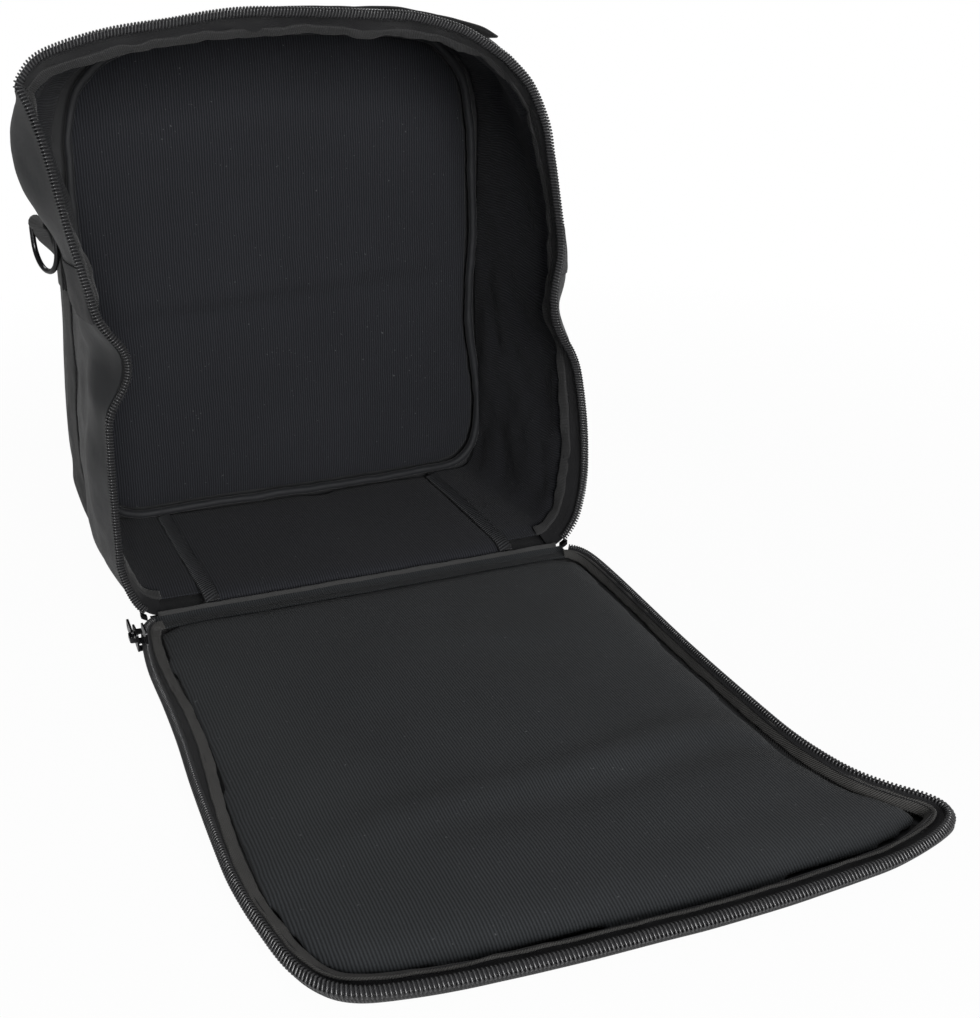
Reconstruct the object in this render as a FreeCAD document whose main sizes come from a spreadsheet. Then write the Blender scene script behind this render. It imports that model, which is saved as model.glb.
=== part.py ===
import FreeCAD, Part
import math
import os
import re
import Sketcher
from FreeCAD import Placement, Rotation, Vector

# Soft padded case for an accordion: an upright bag whose zipped front lies open on the floor.
# +X is to the viewer's right, +Y to the back, +Z up; the origin is the centre of the underside.

doc = FreeCAD.newDocument("accordion_case")
sheet = doc.addObject("Spreadsheet::Sheet", "sizes")

# Driving sizes, all in millimetres
DRIVING_SIZES = [
    ("case_width", "392", "outside width of the bag"),
    ("ridge_height", "438", "height where the two slopes of the top would meet"),
    ("case_depth", "200", "from the coil at the mouth to the outside of the back"),
    ("crown_rise", "12", "how far the middle of the top stands above its shoulders"),
    ("crown_spread", "80", "the round of the middle of the top reaches this far along each slope"),
    ("bottom_radius", "26", "round of the bottom corners"),
    ("shoulder_radius", "75", "round of the top corners"),
    ("cloth", "1.2", "outer nylon"),
    ("foam", "8", "padding sheet"),
    ("lining", "1.2", "ribbed lining cloth"),
    ("layer_gap", "0.3", "space left between sewn layers"),
    ("seam_inset", "62", "bottom seams, in from the side walls"),
    ("foam_foot", "12", "side padding ends this far above the corner round"),
    ("tape_width", "24", "zip tape of the mouth, sewn edge included"),
    ("tape_thickness", "1", "zip tape"),
    ("coil_width", "5.2", "zip coil, across the chain"),
    ("coil_height", "3", "zip coil, out from the tape"),
    ("coil_clearance", "3.4", "bare tape between the coil and the outer nylon"),
    ("chain_gap", "1.6", "space between the two coils when the cover is shut"),
    ("end_inset", "14", "the coils end this far in from the side walls"),
    ("binding_width", "10", "grosgrain round the mouth"),
    ("binding_thickness", "2.5", "folded grosgrain"),
    ("welt_radius", "4.5", "bound seam round the back lining"),
    ("ribbed_width", "13", "ribbed tape over a bottom seam"),
    ("ribbed_height", "2.2", "ribbed tape over a bottom seam"),
    ("hinge_cloth_half", "166", "half the length of the cloth hinge"),
    ("hinge_seam_thickness", "3.5", "folded grosgrain along the cloth hinge"),
    ("hinge_seam_top", "9.5", "top of that grosgrain above the floor"),
    ("rim_height", "16", "edge of the open cover above the floor"),
    ("rim_bare", "7.8", "top of that edge left to the zip"),
    ("cover_tape_width", "13", "zip tape of the cover"),
    ("cover_binding_width", "6", "binding inside the rim of the cover"),
    ("pad_inset", "6.4", "cover padding, in from the outside of the rim"),
    ("end_stop_length", "5", "clip at each end of the mouth coil"),
    ("webbing", "1.8", "thickness of all sewn webbing"),
    ("webbing_gap", "0.2", "webbing off the nylon it is sewn to"),
    ("band_height", "38", "level band on each side"),
    ("band_low", "238", "lower edge of that band above the floor"),
    ("band_tail", "11", "the band runs this far behind the upright webbing"),
    ("strap_width", "50", "upright webbing on each side"),
    ("strap_low", "8", "lower end of that webbing above the floor"),
    ("strap_y", "38", "upright webbing and ring, behind the middle"),
    ("wire_radius", "2.2", "round wire of the D-rings"),
    ("ring_half_width", "22", "wire centre of a leg from the middle of the ring"),
    ("ring_bend", "5", "bends at the ends of the straight bar"),
    ("ring_leg", "9", "straight part of a leg below its bend"),
    ("ring_above_band", "14", "straight bar above the band"),
    ("ring_clearance", "0.3", "loop round the bar"),
    ("ring_turn", "18", "degrees that the ring turns towards the mouth"),
    ("loop_width", "34", "webbing that holds a ring"),
    ("loop_stand", "13", "straight bar out from the middle of the tail"),
    ("tail_height", "24", "sewn part of the loop, up from the lower edge of the band"),
    ("eighth_share", "0.4142", "half a flat of an eight-sided fold, as a share of its reach"),
    ("handle_width", "38", "carry handle"),
    ("handle_foot", "95", "sewn feet start this far from the middle"),
    ("handle_end", "148", "sewn feet end this far from the middle"),
    ("handle_gap", "8", "room under the middle of the handle"),
    ("run_gap", "0.4", "running clearance round the coils"),
    ("plate", "1.4", "slider plates"),
    ("slider_length", "22", "slider along the chain"),
    ("slider_nose", "9", "straight flank of the slider"),
    ("slider_waist", "11", "width of the slider at its closed end"),
    ("slider_corner", "2", "round corners of the slider plates"),
    ("lip", "1.3", "side lips of the slider"),
    ("post", "0.9", "wedge between the two coils"),
    ("post_length", "8", "wedge along the chain"),
    ("bridge_half", "6", "half the length of the bridge over the slider"),
    ("bridge_width", "3.4", "bridge over the slider"),
    ("bridge_rise", "3.4", "free height under the bridge"),
    ("bridge_wall", "1.1", "bridge over the slider"),
    ("bridge_corner", "2.2", "outer bends of the bridge"),
    ("pin_radius", "0.9", "bar of the pull inside the bridge"),
    ("pull_width", "9", "pull tab"),
    ("pull_length", "25", "pull tab from its bar"),
    ("pull_thickness", "1.6", "pull tab"),
    ("pull_window", "6.6", "opening of the pull that takes the bridge"),
    ("pull_grip_hole", "2", "round hole near the free end of the pull"),
    ("welt_sides", "6", "flat sides of the bound seam"),
    ("wire_sides", "6", "flat sides of the ring wire"),
    ("corner_share", "0.8", "round of a soft corner, as a share of its size"),
    ("bow_share", "0.96", "round of the bow, as a share of half the ring's width"),
    ("overrun", "5", "cutters pass this far beyond what they cut"),
]

ALIASES = []


def add_cell(alias, content, note=""):
    """Adds a named cell to the sheet and returns its name."""
    row = len(ALIASES) + 1
    sheet.set("A%d" % row, alias)
    sheet.set("B%d" % row, content)
    sheet.set("C%d" % row, note)
    sheet.setAlias("B%d" % row, alias)
    ALIASES.append(alias)
    return alias


def size(alias):
    """The number in a named cell."""
    return float(sheet.get(alias))


def linked(formula):
    """A sheet formula as other objects write it, with the sheet's name before each alias."""
    return re.sub(r"[A-Za-z_]\w*", lambda m: "sizes." + m.group() if m.group() in ALIASES else m.group(), formula)


def derived(alias, formula, note=""):
    """A named cell worked out from the cells above it."""
    add_cell(alias, "=" + formula, note)
    sheet.recompute()
    return alias


def bind(obj, **formulas):
    """Binds properties of an object to sheet formulas; x, y and z stand for its place."""
    for name, formula in formulas.items():
        path = ".Placement.Base." + name if name in ("x", "y", "z") else name
        obj.setExpression(path, linked(formula))
    return obj


for alias, number, note in DRIVING_SIZES:
    add_cell(alias, number, note)
sheet.recompute()

# Places that several pieces share
derived("half_width", "case_width / 2")
derived("mouth_y", "-case_depth / 2", "front edge of the coil at the mouth")
derived("back_y", "case_depth / 2", "outside of the back")
derived("shoulder_z", "ridge_height - crown_rise")
derived("slope", "atan(crown_rise / half_width)", "slope of the top, an angle")
derived("crown_radius", "crown_spread / tan(slope)")
derived("shoulder_tangent", "shoulder_radius * tan((90deg - slope) / 2)")
derived("split_z", "shoulder_z - shoulder_tangent", "side walls end and the top begins")
derived("peak_z", "ridge_height - crown_radius * (1 / cos(slope) - 1)")
derived("seam_x", "half_width - seam_inset")
derived("panel_y", "mouth_y + coil_width + coil_clearance", "front edge of the outer nylon")
derived("wall_back_y", "back_y - cloth - layer_gap")
derived("tape_back_y", "mouth_y + tape_width")
derived("pad_front_y", "tape_back_y + layer_gap")
derived("foam_inset", "cloth + layer_gap")
derived("lining_inset", "foam_inset + foam + layer_gap")
derived("wall", "lining_inset + lining", "whole thickness of a padded wall")
derived("tape_inset", "cloth + layer_gap")
derived("binding_inset", "tape_inset + tape_thickness + layer_gap")
derived("coil_in", "tape_inset - layer_gap", "inner side of the coil, from the outline")
derived("coil_out", "coil_in - coil_height", "outer side of the coil, from the outline")
derived("end_x", "half_width - end_inset", "the zip ends here, either side")
derived("cover_chain_y", "mouth_y - chain_gap", "coil of the shut cover")
derived("cover_y", "cover_chain_y - rim_height", "outside of the shut cover")
derived("hinge_z", "cloth", "axis of the cloth hinge")
derived("hinge_y", "cover_y + hinge_z", "axis of the cloth hinge")
derived("cover_start", "hinge_z + layer_gap", "shut cover above the hinge")
derived("chain_mid_y", "mouth_y - chain_gap / 2")
derived("slider_start", "bottom_radius + slider_length / 2 + layer_gap", "slider from the floor, cover shut")
derived("reach", "2 * case_width + 2 * ridge_height", "longer than anything cut")


def rounded_outline(sketch, label, corners):
    """Draws a closed outline with rounded corners, anticlockwise, from rows of x, y and radius.

    Each row becomes cells of the sheet and each corner a construction point that they place.
    A radius of None is a sharp corner.
    """
    rows = []
    for count, (x_formula, y_formula, radius_formula) in enumerate(corners, 1):
        x_cell = derived("%s_across_%d" % (label, count), x_formula)
        y_cell = derived("%s_up_%d" % (label, count), y_formula)
        radius_cell = None
        if radius_formula is not None:
            radius_cell = derived("%s_round_%d" % (label, count), radius_formula)
        rows.append((x_cell, y_cell, radius_cell))
    points = [Vector(size(x_cell), size(y_cell), 0) for x_cell, y_cell, _ in rows]
    number = len(points)
    entries, exits, arcs = [], [], []
    for index, point in enumerate(points):
        radius_cell = rows[index][2]
        if radius_cell is None:
            entries.append(point)
            exits.append(point)
            arcs.append(None)
            continue
        back = (points[index - 1] - point).normalize()
        ahead = (points[(index + 1) % number] - point).normalize()
        half_angle = back.getAngle(ahead) / 2
        radius = size(radius_cell)
        tangent = radius / math.tan(half_angle)
        centre = point + (back + ahead).normalize() * (radius / math.sin(half_angle))
        entry = point + back * tangent
        leave = point + ahead * tangent
        convex = back.cross(ahead).z < 0
        first, last = (entry, leave) if convex else (leave, entry)
        start = math.atan2(first.y - centre.y, first.x - centre.x)
        end = math.atan2(last.y - centre.y, last.x - centre.x)
        circle = Part.Circle(centre, Vector(0, 0, 1), radius)
        arc = sketch.addGeometry(Part.ArcOfCircle(circle, start, end), False)
        entries.append(entry)
        exits.append(leave)
        arcs.append((arc, 1, 2) if convex else (arc, 2, 1))
    lines = []
    for index in range(number):
        segment = Part.LineSegment(exits[index], entries[(index + 1) % number])
        lines.append(sketch.addGeometry(segment, False))
    marks = []
    for index, point in enumerate(points):
        x_cell, y_cell, radius_cell = rows[index]
        before, after = lines[index - 1], lines[index]
        if arcs[index] is None:
            sketch.addConstraint(Sketcher.Constraint("Coincident", before, 2, after, 1))
            marks.append((after, 1))
        else:
            arc, entry_end, exit_end = arcs[index]
            sketch.addConstraint(Sketcher.Constraint("Tangent", before, 2, arc, entry_end))
            sketch.addConstraint(Sketcher.Constraint("Tangent", arc, exit_end, after, 1))
            turn = sketch.addConstraint(Sketcher.Constraint("Radius", arc, size(radius_cell)))
            sketch.setExpression("Constraints[%d]" % turn, linked(radius_cell))
            mark = sketch.addGeometry(Part.Point(point), True)
            sketch.addConstraint(Sketcher.Constraint("PointOnObject", mark, 1, before))
            sketch.addConstraint(Sketcher.Constraint("PointOnObject", mark, 1, after))
            marks.append((mark, 1))
        for kind, cell, distance in (("DistanceX", x_cell, point.x), ("DistanceY", y_cell, point.y)):
            place = sketch.addConstraint(Sketcher.Constraint(kind, -1, 1, *marks[index], distance))
            sketch.setExpression("Constraints[%d]" % place, linked(cell))
    return sketch


FACING_FRONT = Rotation(Vector(1, 0, 0), 90)
FACING_SIDE = Rotation(Vector(1, 1, 1), 120)


def outline_sketch(label, corners, facing=FACING_FRONT):
    """A standing sketch, its second axis up."""
    sketch = doc.addObject("Sketcher::SketchObject", label)
    sketch.Placement = Placement(Vector(0, 0, 0), facing)
    return rounded_outline(sketch, label, corners)


# Outline of the bag seen from the front, shared by every wall, the mouth and the cover
case_outline = outline_sketch("case_outline", [
    ("-half_width", "0", "bottom_radius"),
    ("half_width", "0", "bottom_radius"),
    ("half_width", "shoulder_z", "shoulder_radius"),
    ("0", "ridge_height", "crown_radius"),
    ("-half_width", "shoulder_z", "shoulder_radius"),
])

PLATES = {}
OFFSETS = {"0": case_outline}


def outline_at(inset):
    """The case outline drawn in by a formula, or outwards where that is negative."""
    if inset not in OFFSETS:
        offset = doc.addObject("Part::Offset2D", "outline_offset")
        offset.Source = case_outline
        offset.Join = "Arc"
        bind(offset, Value="-(%s)" % inset)
        OFFSETS[inset] = offset
    return OFFSETS[inset]


def solid_outline(inset, front, back):
    """A solid of the outline, drawn in by one formula, between two depths."""
    key = (inset, front, back)
    if key not in PLATES:
        plate = doc.addObject("Part::Extrusion", "outline_plate")
        plate.Base = outline_at(inset)
        plate.DirMode = "Custom"
        plate.Dir = Vector(0, 1, 0)
        plate.Solid = True
        bind(plate, LengthFwd="(%s) - (%s)" % (back, front), y=front)
        PLATES[key] = plate
    return PLATES[key]


def boolean(kind, label, base, tool):
    """A cut, common or fusion of two objects."""
    result = doc.addObject("Part::" + kind, label)
    result.Base = base
    result.Tool = tool
    return result


def ring(label, outer, inner, front, back):
    """A band that follows the outline, between two insets and two depths."""
    return boolean("Cut", label, solid_outline(outer, front, back), solid_outline(inner, front, back))


def block(label, x, y, z):
    """A box between pairs of formulas."""
    box = doc.addObject("Part::Box", label)
    bind(box, Length="(%s) - (%s)" % (x[1], x[0]), Width="(%s) - (%s)" % (y[1], y[0]))
    bind(box, Height="(%s) - (%s)" % (z[1], z[0]), x=x[0], y=y[0], z=z[0])
    return box


def mirrored(label, source):
    """The left-hand copy of a right-hand piece."""
    copy = doc.addObject("Part::Mirroring", label)
    copy.Source = source
    copy.Base = Vector(0, 0, 0)
    copy.Normal = Vector(1, 0, 0)
    return copy


def body(label):
    """A PartDesign body."""
    return doc.addObject("PartDesign::Body", label)


def body_sketch(owner, name, plane, offset=None):
    """A sketch on one of a body's origin planes, moved along its normal by a formula."""
    sketch = owner.newObject("Sketcher::SketchObject", name)
    support = [f for f in owner.Origin.OriginFeatures if f.Role == plane][0]
    sketch.AttachmentSupport = [(support, "")]
    sketch.MapMode = "FlatFace"
    if offset is not None:
        sketch.setExpression(".AttachmentOffset.Base.z", linked(offset))
    return sketch


def padded(owner, name, sketch, length, middle=False, reverse=False):
    """A pad of a sketch, to one side or evenly about it."""
    pad = owner.newObject("PartDesign::Pad", name)
    pad.Profile = sketch
    pad.Midplane = middle
    pad.Reversed = reverse
    return bind(pad, Length=length)


NODES = []


def node(obj, label):
    """Marks an object as a finished piece under its name."""
    obj.Label = label
    NODES.append(obj)
    return obj


FAR = ("-reach", "reach")

# Regions that part the walls at their seams
right_region = block("right_region", ("seam_x", "reach"), FAR, ("-overrun", "split_z"))
top_region = block("top_region", FAR, FAR, ("split_z + layer_gap", "reach"))
floor_region = block("floor_region", ("-(seam_x - layer_gap)", "seam_x - layer_gap"), FAR,
                     ("-overrun", "wall + overrun"))
above_floor_seam = block("above_floor_seam", ("-seam_x", "seam_x"), FAR, ("-overrun", "wall + overrun"))
foam_right_region = block("foam_right_region", ("seam_x", "reach"), FAR,
                          ("bottom_radius + foam_foot", "split_z"))
foam_floor_rear = block("foam_floor_rear", ("-(half_width - bottom_radius)", "half_width - bottom_radius"),
                        ("pad_front_y", "reach"), ("-overrun", "wall + overrun"))
foam_floor_region = doc.addObject("Part::MultiFuse", "foam_floor_region")
foam_floor_region.Shapes = [foam_floor_rear, floor_region]

# Outer nylon of the walls
nylon_ring = ring("nylon_ring", "0", "cloth", "panel_y", "wall_back_y")
right_side_panel = node(boolean("Common", "nylon_right", nylon_ring, right_region), "right_side_panel")
node(mirrored("nylon_left", right_side_panel), "left_side_panel")
node(boolean("Common", "nylon_top", nylon_ring, top_region), "top_panel")
node(boolean("Common", "nylon_floor", nylon_ring, floor_region), "bottom_panel")
back_panel = boolean("Common", "nylon_back", solid_outline("0", "back_y - cloth", "back_y"), block(
    "back_region", FAR, ("back_y - cloth", "back_y"), FAR))
node(back_panel, "back_panel")

# Padding sheets
foam_ring = ring("foam_ring", "foam_inset", "foam_inset + foam", "pad_front_y", "wall_back_y")
right_foam = node(boolean("Common", "foam_right", foam_ring, foam_right_region), "right_foam")
node(mirrored("foam_left", right_foam), "left_foam")
node(boolean("Common", "foam_top", foam_ring, top_region), "top_foam")
floor_foam_ring = ring("floor_foam_ring", "foam_inset", "foam_inset + foam", "mouth_y", "wall_back_y")
node(boolean("Common", "foam_floor", floor_foam_ring, foam_floor_region), "bottom_foam")
derived("back_foam_y", "wall_back_y - foam")
derived("back_lining_y", "back_foam_y - layer_gap - lining")
back_inset = "wall + layer_gap"
node(boolean("Common", "foam_back", solid_outline(back_inset, "back_foam_y", "wall_back_y"), block(
    "back_foam_region", FAR, ("back_foam_y", "wall_back_y"), FAR)), "back_foam")

# Linings
lining_ring = ring("lining_ring", "lining_inset", "wall", "pad_front_y", "wall_back_y")
node(boolean("Cut", "lining_walls", lining_ring, above_floor_seam), "gusset_lining")
floor_lining_ring = ring("floor_lining_ring", "lining_inset", "wall", "mouth_y", "wall_back_y")
node(boolean("Common", "lining_floor", floor_lining_ring, floor_region), "bottom_lining")
node(boolean("Common", "lining_back", solid_outline(back_inset, "back_lining_y", "back_lining_y + lining"), block(
    "back_lining_region", FAR, ("back_lining_y", "back_lining_y + lining"), FAR)), "back_lining")



def swept(label, path, sides, radius, **place):
    """A bar of many flat sides carried round a closed path from a place on an upright run of it."""
    section = doc.addObject("Part::RegularPolygon", label + "_section")
    bind(section, Polygon=sides, Circumradius=radius, **place)
    bar = doc.addObject("Part::Sweep", label)
    bar.Sections = [section]
    bar.Spine = (path, [])
    bar.Solid = True
    bar.Frenet = True
    return bar


# Bound seam round the back lining: a round welt laid in the corner
derived("welt_y", "back_lining_y - layer_gap - welt_radius")
derived("welt_inset", "wall + layer_gap + welt_radius")
welt = swept("welt", outline_at("welt_inset"), "welt_sides", "welt_radius", x="half_width - welt_inset", z="split_z / 2")
bind(welt, y="welt_y")
node(welt, "back_binding")

# Ribbed tapes over the two bottom seams
ribbed = body("ribbed_tape")
ribbed_sketch = rounded_outline(body_sketch(ribbed, "ribbed_section", "XZ_Plane"), "ribbed", [
    ("-ribbed_width / 2", "0", None),
    ("ribbed_width / 2", "0", None),
    ("ribbed_width / 2", "ribbed_height", "ribbed_height * corner_share"),
    ("-ribbed_width / 2", "ribbed_height", "ribbed_height * corner_share"),
])
derived("ribbed_length", "welt_y - welt_radius - layer_gap - mouth_y")
padded(ribbed, "ribbed_pad", ribbed_sketch, "ribbed_length", reverse=True)
bind(ribbed, x="seam_x", y="mouth_y", z="wall + layer_gap")
node(ribbed, "right_bottom_binding")
node(mirrored("ribbed_left", ribbed), "left_bottom_binding")

# Zip of the mouth: tape, coil, end clips and the grosgrain that binds the raw edges
zip_ends = block("zip_ends", ("-end_x", "end_x"), FAR, ("-overrun", "bottom_radius"))
node(boolean("Cut", "tape_of_mouth", ring(
    "tape_ring", "tape_inset", "tape_inset + tape_thickness", "mouth_y", "tape_back_y"), zip_ends), "mouth_tape")
derived("stop_end", "end_x + end_stop_length")
coil_ends = block("coil_ends", ("-(stop_end + layer_gap)", "stop_end + layer_gap"), FAR,
                  ("-overrun", "bottom_radius"))
coil_ring = ring("coil_ring", "coil_out", "coil_in", "mouth_y", "mouth_y + coil_width")
node(boolean("Cut", "coil_of_mouth", coil_ring, coil_ends), "mouth_coil")
stop_right = block("stop_right", ("end_x", "stop_end"), FAR, ("-overrun", "bottom_radius"))
stops = doc.addObject("Part::MultiFuse", "stop_regions")
stops.Shapes = [stop_right, mirrored("stop_left", stop_right)]
node(boolean("Common", "stops_of_mouth", coil_ring, stops), "zip_end_stops")
node(boolean("Cut", "binding_of_mouth", ring(
    "binding_ring", "binding_inset", "binding_inset + binding_thickness", "tape_back_y - binding_width",
    "tape_back_y"), zip_ends), "mouth_binding")

# Cloth hinge along the bottom front edge
node(block("cloth_hinge", ("-hinge_cloth_half", "hinge_cloth_half"), ("hinge_y", "panel_y - layer_gap"),
           ("0", "cloth")), "hinge_cloth")
node(block("hinge_seam", ("-hinge_cloth_half", "hinge_cloth_half"),
           ("mouth_y - layer_gap - hinge_seam_thickness", "mouth_y - layer_gap"),
           ("cloth + layer_gap", "hinge_seam_top")), "hinge_binding")

# Sewn webbing on the side walls
derived("webbing_out", "-(webbing_gap + webbing)")
derived("band_top", "band_low + band_height")
band_ring = ring("band_ring", "webbing_out", "-webbing_gap", "panel_y", "strap_y + strap_width / 2 + band_tail")
band_region = block("band_region", ("0", "reach"), FAR, ("band_low", "band_top"))
right_band = node(boolean("Common", "band_right", band_ring, band_region), "right_band")
node(mirrored("band_left", right_band), "left_band")
strap_ring = ring("strap_ring", "webbing_out", "-webbing_gap", "strap_y - strap_width / 2",
                  "strap_y + strap_width / 2")
strap_region = block("strap_region", ("0", "reach"), FAR, ("strap_low", "band_low - layer_gap"))
right_strap = node(boolean("Common", "strap_right", strap_ring, strap_region), "right_strap")
node(mirrored("strap_left", right_strap), "left_strap")

# Loop of webbing that holds a ring: a flat tail sewn over the band, a free part that leans out from the wall
# and turns towards the mouth, and a fold round the straight bar of the ring
derived("tail_in", "half_width + 2 * webbing_gap + webbing")
derived("tail_out", "tail_in + 2 * webbing")
derived("tail_top", "band_low + tail_height")
derived("tail_middle", "tail_in + webbing")
derived("bar_x", "tail_middle + loop_stand", "straight bar of the right ring")
derived("bar_z", "band_top + ring_above_band")
derived("loop_bore", "wire_radius + ring_clearance")
derived("loop_round", "loop_bore + webbing")


def turned(obj, **place):
    """Turns a piece of the right-hand loop to face the mouth, about the upright through the bar."""
    obj.Placement = Placement(Vector(0, 0, 0), Rotation(Vector(0, 0, -1), 1))
    bind(obj, **place)
    obj.setExpression(".Placement.Rotation.Angle", linked("ring_turn * 1deg"))
    return obj


def webbing_section(label):
    """A flat section of doubled webbing, centred on its own origin."""
    return rounded_outline(doc.addObject("Sketcher::SketchObject", label), label, [
        ("-webbing", "-loop_width / 2", None),
        ("webbing", "-loop_width / 2", None),
        ("webbing", "loop_width / 2", None),
        ("-webbing", "loop_width / 2", None),
    ])


tail = block("loop_tail", ("tail_in", "tail_out"), ("strap_y - loop_width / 2", "strap_y + loop_width / 2"),
             ("band_low", "tail_top"))
lean = doc.addObject("Part::Loft", "loop_lean")
lean.Sections = [
    bind(webbing_section("lean_foot"), x="tail_middle", y="strap_y", z="tail_top"),
    turned(webbing_section("lean_head"), x="bar_x", y="strap_y", z="bar_z - (loop_bore + loop_round) / 2"),
]
lean.Solid = True
lean.Ruled = True
fold_body = body("loop_fold_body")
fold_sketch = body_sketch(fold_body, "loop_fold_outline", "XZ_Plane")
for name, reach in (("fold_outside", "loop_round"), ("fold_bore", "loop_bore")):
    flat = derived(name + "_flat", "%s * eighth_share" % reach)
    rounded_outline(fold_sketch, name, [
        ("-" + reach, "-" + flat, None), ("-" + flat, "-" + reach, None),
        (flat, "-" + reach, None), (reach, "-" + flat, None),
        (reach, flat, None), (flat, reach, None),
        ("-" + flat, reach, None), ("-" + reach, flat, None),
    ])
padded(fold_body, "loop_fold", fold_sketch, "loop_width", middle=True)
turned(fold_body, x="bar_x", y="strap_y", z="bar_z")
loop = doc.addObject("Part::MultiFuse", "ring_loop")
loop.Shapes = [tail, lean, fold_body]
node(loop, "right_ring_loop")
node(mirrored("loop_left", loop), "left_ring_loop")

# D-ring: a straight bar, two bent legs and a round bow in one closed path, hanging from its bar
derived("ring_low", "-(ring_bend + ring_leg + ring_half_width)")
derived("ring_bow", "ring_half_width * bow_share")
ring_path = outline_sketch("ring_path", [
    ("-ring_half_width", "ring_low", "ring_bow"),
    ("ring_half_width", "ring_low", "ring_bow"),
    ("ring_half_width", "0", "ring_bend"),
    ("-ring_half_width", "0", "ring_bend"),
], FACING_SIDE)
d_ring = turned(swept("d_ring", ring_path, "wire_sides", "wire_radius", y="ring_half_width",
                      z="-(ring_bend + ring_leg / 2)"), x="bar_x", y="strap_y", z="bar_z")
node(d_ring, "right_ring")
node(mirrored("d_ring_left", d_ring), "left_ring")

# Carry handle: sewn feet that follow the shoulders, joined by a low arch
foot_ring = ring("foot_ring", "webbing_out", "-webbing_gap", "-handle_width / 2", "handle_width / 2")
foot_right = block("foot_right", ("handle_foot", "handle_end"), FAR, ("split_z", "reach"))
feet = doc.addObject("Part::MultiFuse", "foot_regions")
feet.Shapes = [foot_right, mirrored("foot_left", foot_right)]
handle_feet = boolean("Common", "handle_feet", foot_ring, feet)
derived("arch_low", "ridge_height - crown_rise * handle_foot / half_width + webbing_gap")
derived("arch_top", "peak_z + webbing_gap + handle_gap")
derived("arch_sag", "arch_top - arch_low")
derived("arch_radius", "(handle_foot ^ 2 + arch_sag ^ 2) / (2 * arch_sag)")


def drum(label, radius):
    """A drum across the middle of the bag, as wide as the handle."""
    obj = doc.addObject("Part::Cylinder", label)
    obj.Placement = Placement(Vector(0, 0, 0), Rotation(Vector(1, 0, 0), -90))
    return bind(obj, Radius=radius, Height="handle_width", y="-handle_width / 2", z="arch_top - arch_radius")


arch_band = boolean("Cut", "arch_band", drum("arch_outer", "arch_radius + webbing"), drum("arch_inner", "arch_radius"))
arch = boolean("Common", "arch", arch_band, block(
    "arch_region", ("-(handle_foot + webbing)", "handle_foot + webbing"), FAR, ("split_z", "reach")))
node(boolean("Fuse", "handle", handle_feet, arch), "carry_handle")

# Cover, drawn shut against the mouth and then folded down to the floor
fold = Rotation(Vector(1, 0, 0), 90)


def folded(obj, label):
    """Folds a piece of the shut cover down about the cloth hinge."""
    obj.Placement = Placement(Vector(0, 0, 0), fold)
    bind(obj, y="hinge_y + hinge_z", z="hinge_z - hinge_y")
    return node(obj, label)


cover_region = block("cover_region", FAR, FAR, ("cover_start", "reach"))
shell_outer = solid_outline("0", "cover_y", "cover_chain_y - rim_bare")
shell_inner = solid_outline("cloth", "cover_y + cloth", "cover_chain_y - rim_bare + overrun")
shell = boolean("Cut", "cover_shell", shell_outer, shell_inner)
folded(boolean("Common", "cover_nylon", shell, cover_region), "cover_panel")
derived("cover_foam_y", "cover_y + cloth + layer_gap")
derived("cover_lining_y", "cover_foam_y + foam + layer_gap")
folded(boolean("Common", "cover_padding", solid_outline(
    "pad_inset", "cover_foam_y", "cover_foam_y + foam"), cover_region), "cover_foam")
folded(boolean("Common", "cover_ribbed", solid_outline(
    "pad_inset", "cover_lining_y", "cover_lining_y + lining"), cover_region), "cover_lining")
folded(boolean("Cut", "tape_of_cover", ring("cover_tape_ring", "tape_inset", "tape_inset + tape_thickness",
       "cover_chain_y - cover_tape_width", "cover_chain_y"), zip_ends), "cover_tape")
folded(boolean("Cut", "coil_of_cover", ring("cover_coil_ring", "coil_out", "coil_in",
       "cover_chain_y - coil_width", "cover_chain_y"), zip_ends), "cover_coil")
folded(boolean("Cut", "binding_of_cover", ring("cover_binding_ring", "binding_inset",
       "binding_inset + binding_thickness", "cover_foam_y", "cover_foam_y + cover_binding_width"),
       zip_ends), "cover_binding")

# Zip slider on the left coil of the cover: two plates joined by the wedge between the coils.
# In its own frame +X points into the bag, +Y across the chain and +Z along it, away from the hinge.
derived("plate_out", "coil_out - run_gap", "inner face of the outer plate, in from the wall")
derived("plate_in", "tape_inset + tape_thickness + run_gap", "outer face of the inner plate")
derived("half_chain", "chain_gap / 2 + coil_width + run_gap", "from the middle of the chain to a lip")
derived("slider_half", "half_chain + lip")
derived("slider_end", "slider_length / 2")
slider = body("slider")
plate_corners = [
    ("-slider_half", "slider_end - slider_nose", "lip"),
    ("-slider_waist / 2", "-slider_end", "slider_corner"),
    ("slider_waist / 2", "-slider_end", "slider_corner"),
    ("slider_half", "slider_end - slider_nose", "lip"),
    ("slider_half", "slider_end", "slider_corner"),
    ("-slider_half", "slider_end", "slider_corner"),
]
outer_sketch = rounded_outline(body_sketch(slider, "outer_plate_outline", "YZ_Plane", "plate_out"),
                               "outer_plate", plate_corners)
padded(slider, "outer_plate", outer_sketch, "plate", reverse=True)
post_sketch = rounded_outline(body_sketch(slider, "post_outline", "YZ_Plane", "plate_out - plate / 2"), "post", [
    ("-post / 2", "slider_end - post_length", None),
    ("post / 2", "slider_end - post_length", None),
    ("post / 2", "slider_end", None),
    ("-post / 2", "slider_end", None),
])
padded(slider, "wedge", post_sketch, "plate_in - plate_out + plate")
inner_sketch = rounded_outline(body_sketch(slider, "inner_plate_outline", "YZ_Plane", "plate_in"),
                               "inner_plate", plate_corners)
padded(slider, "inner_plate", inner_sketch, "plate")
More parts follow.
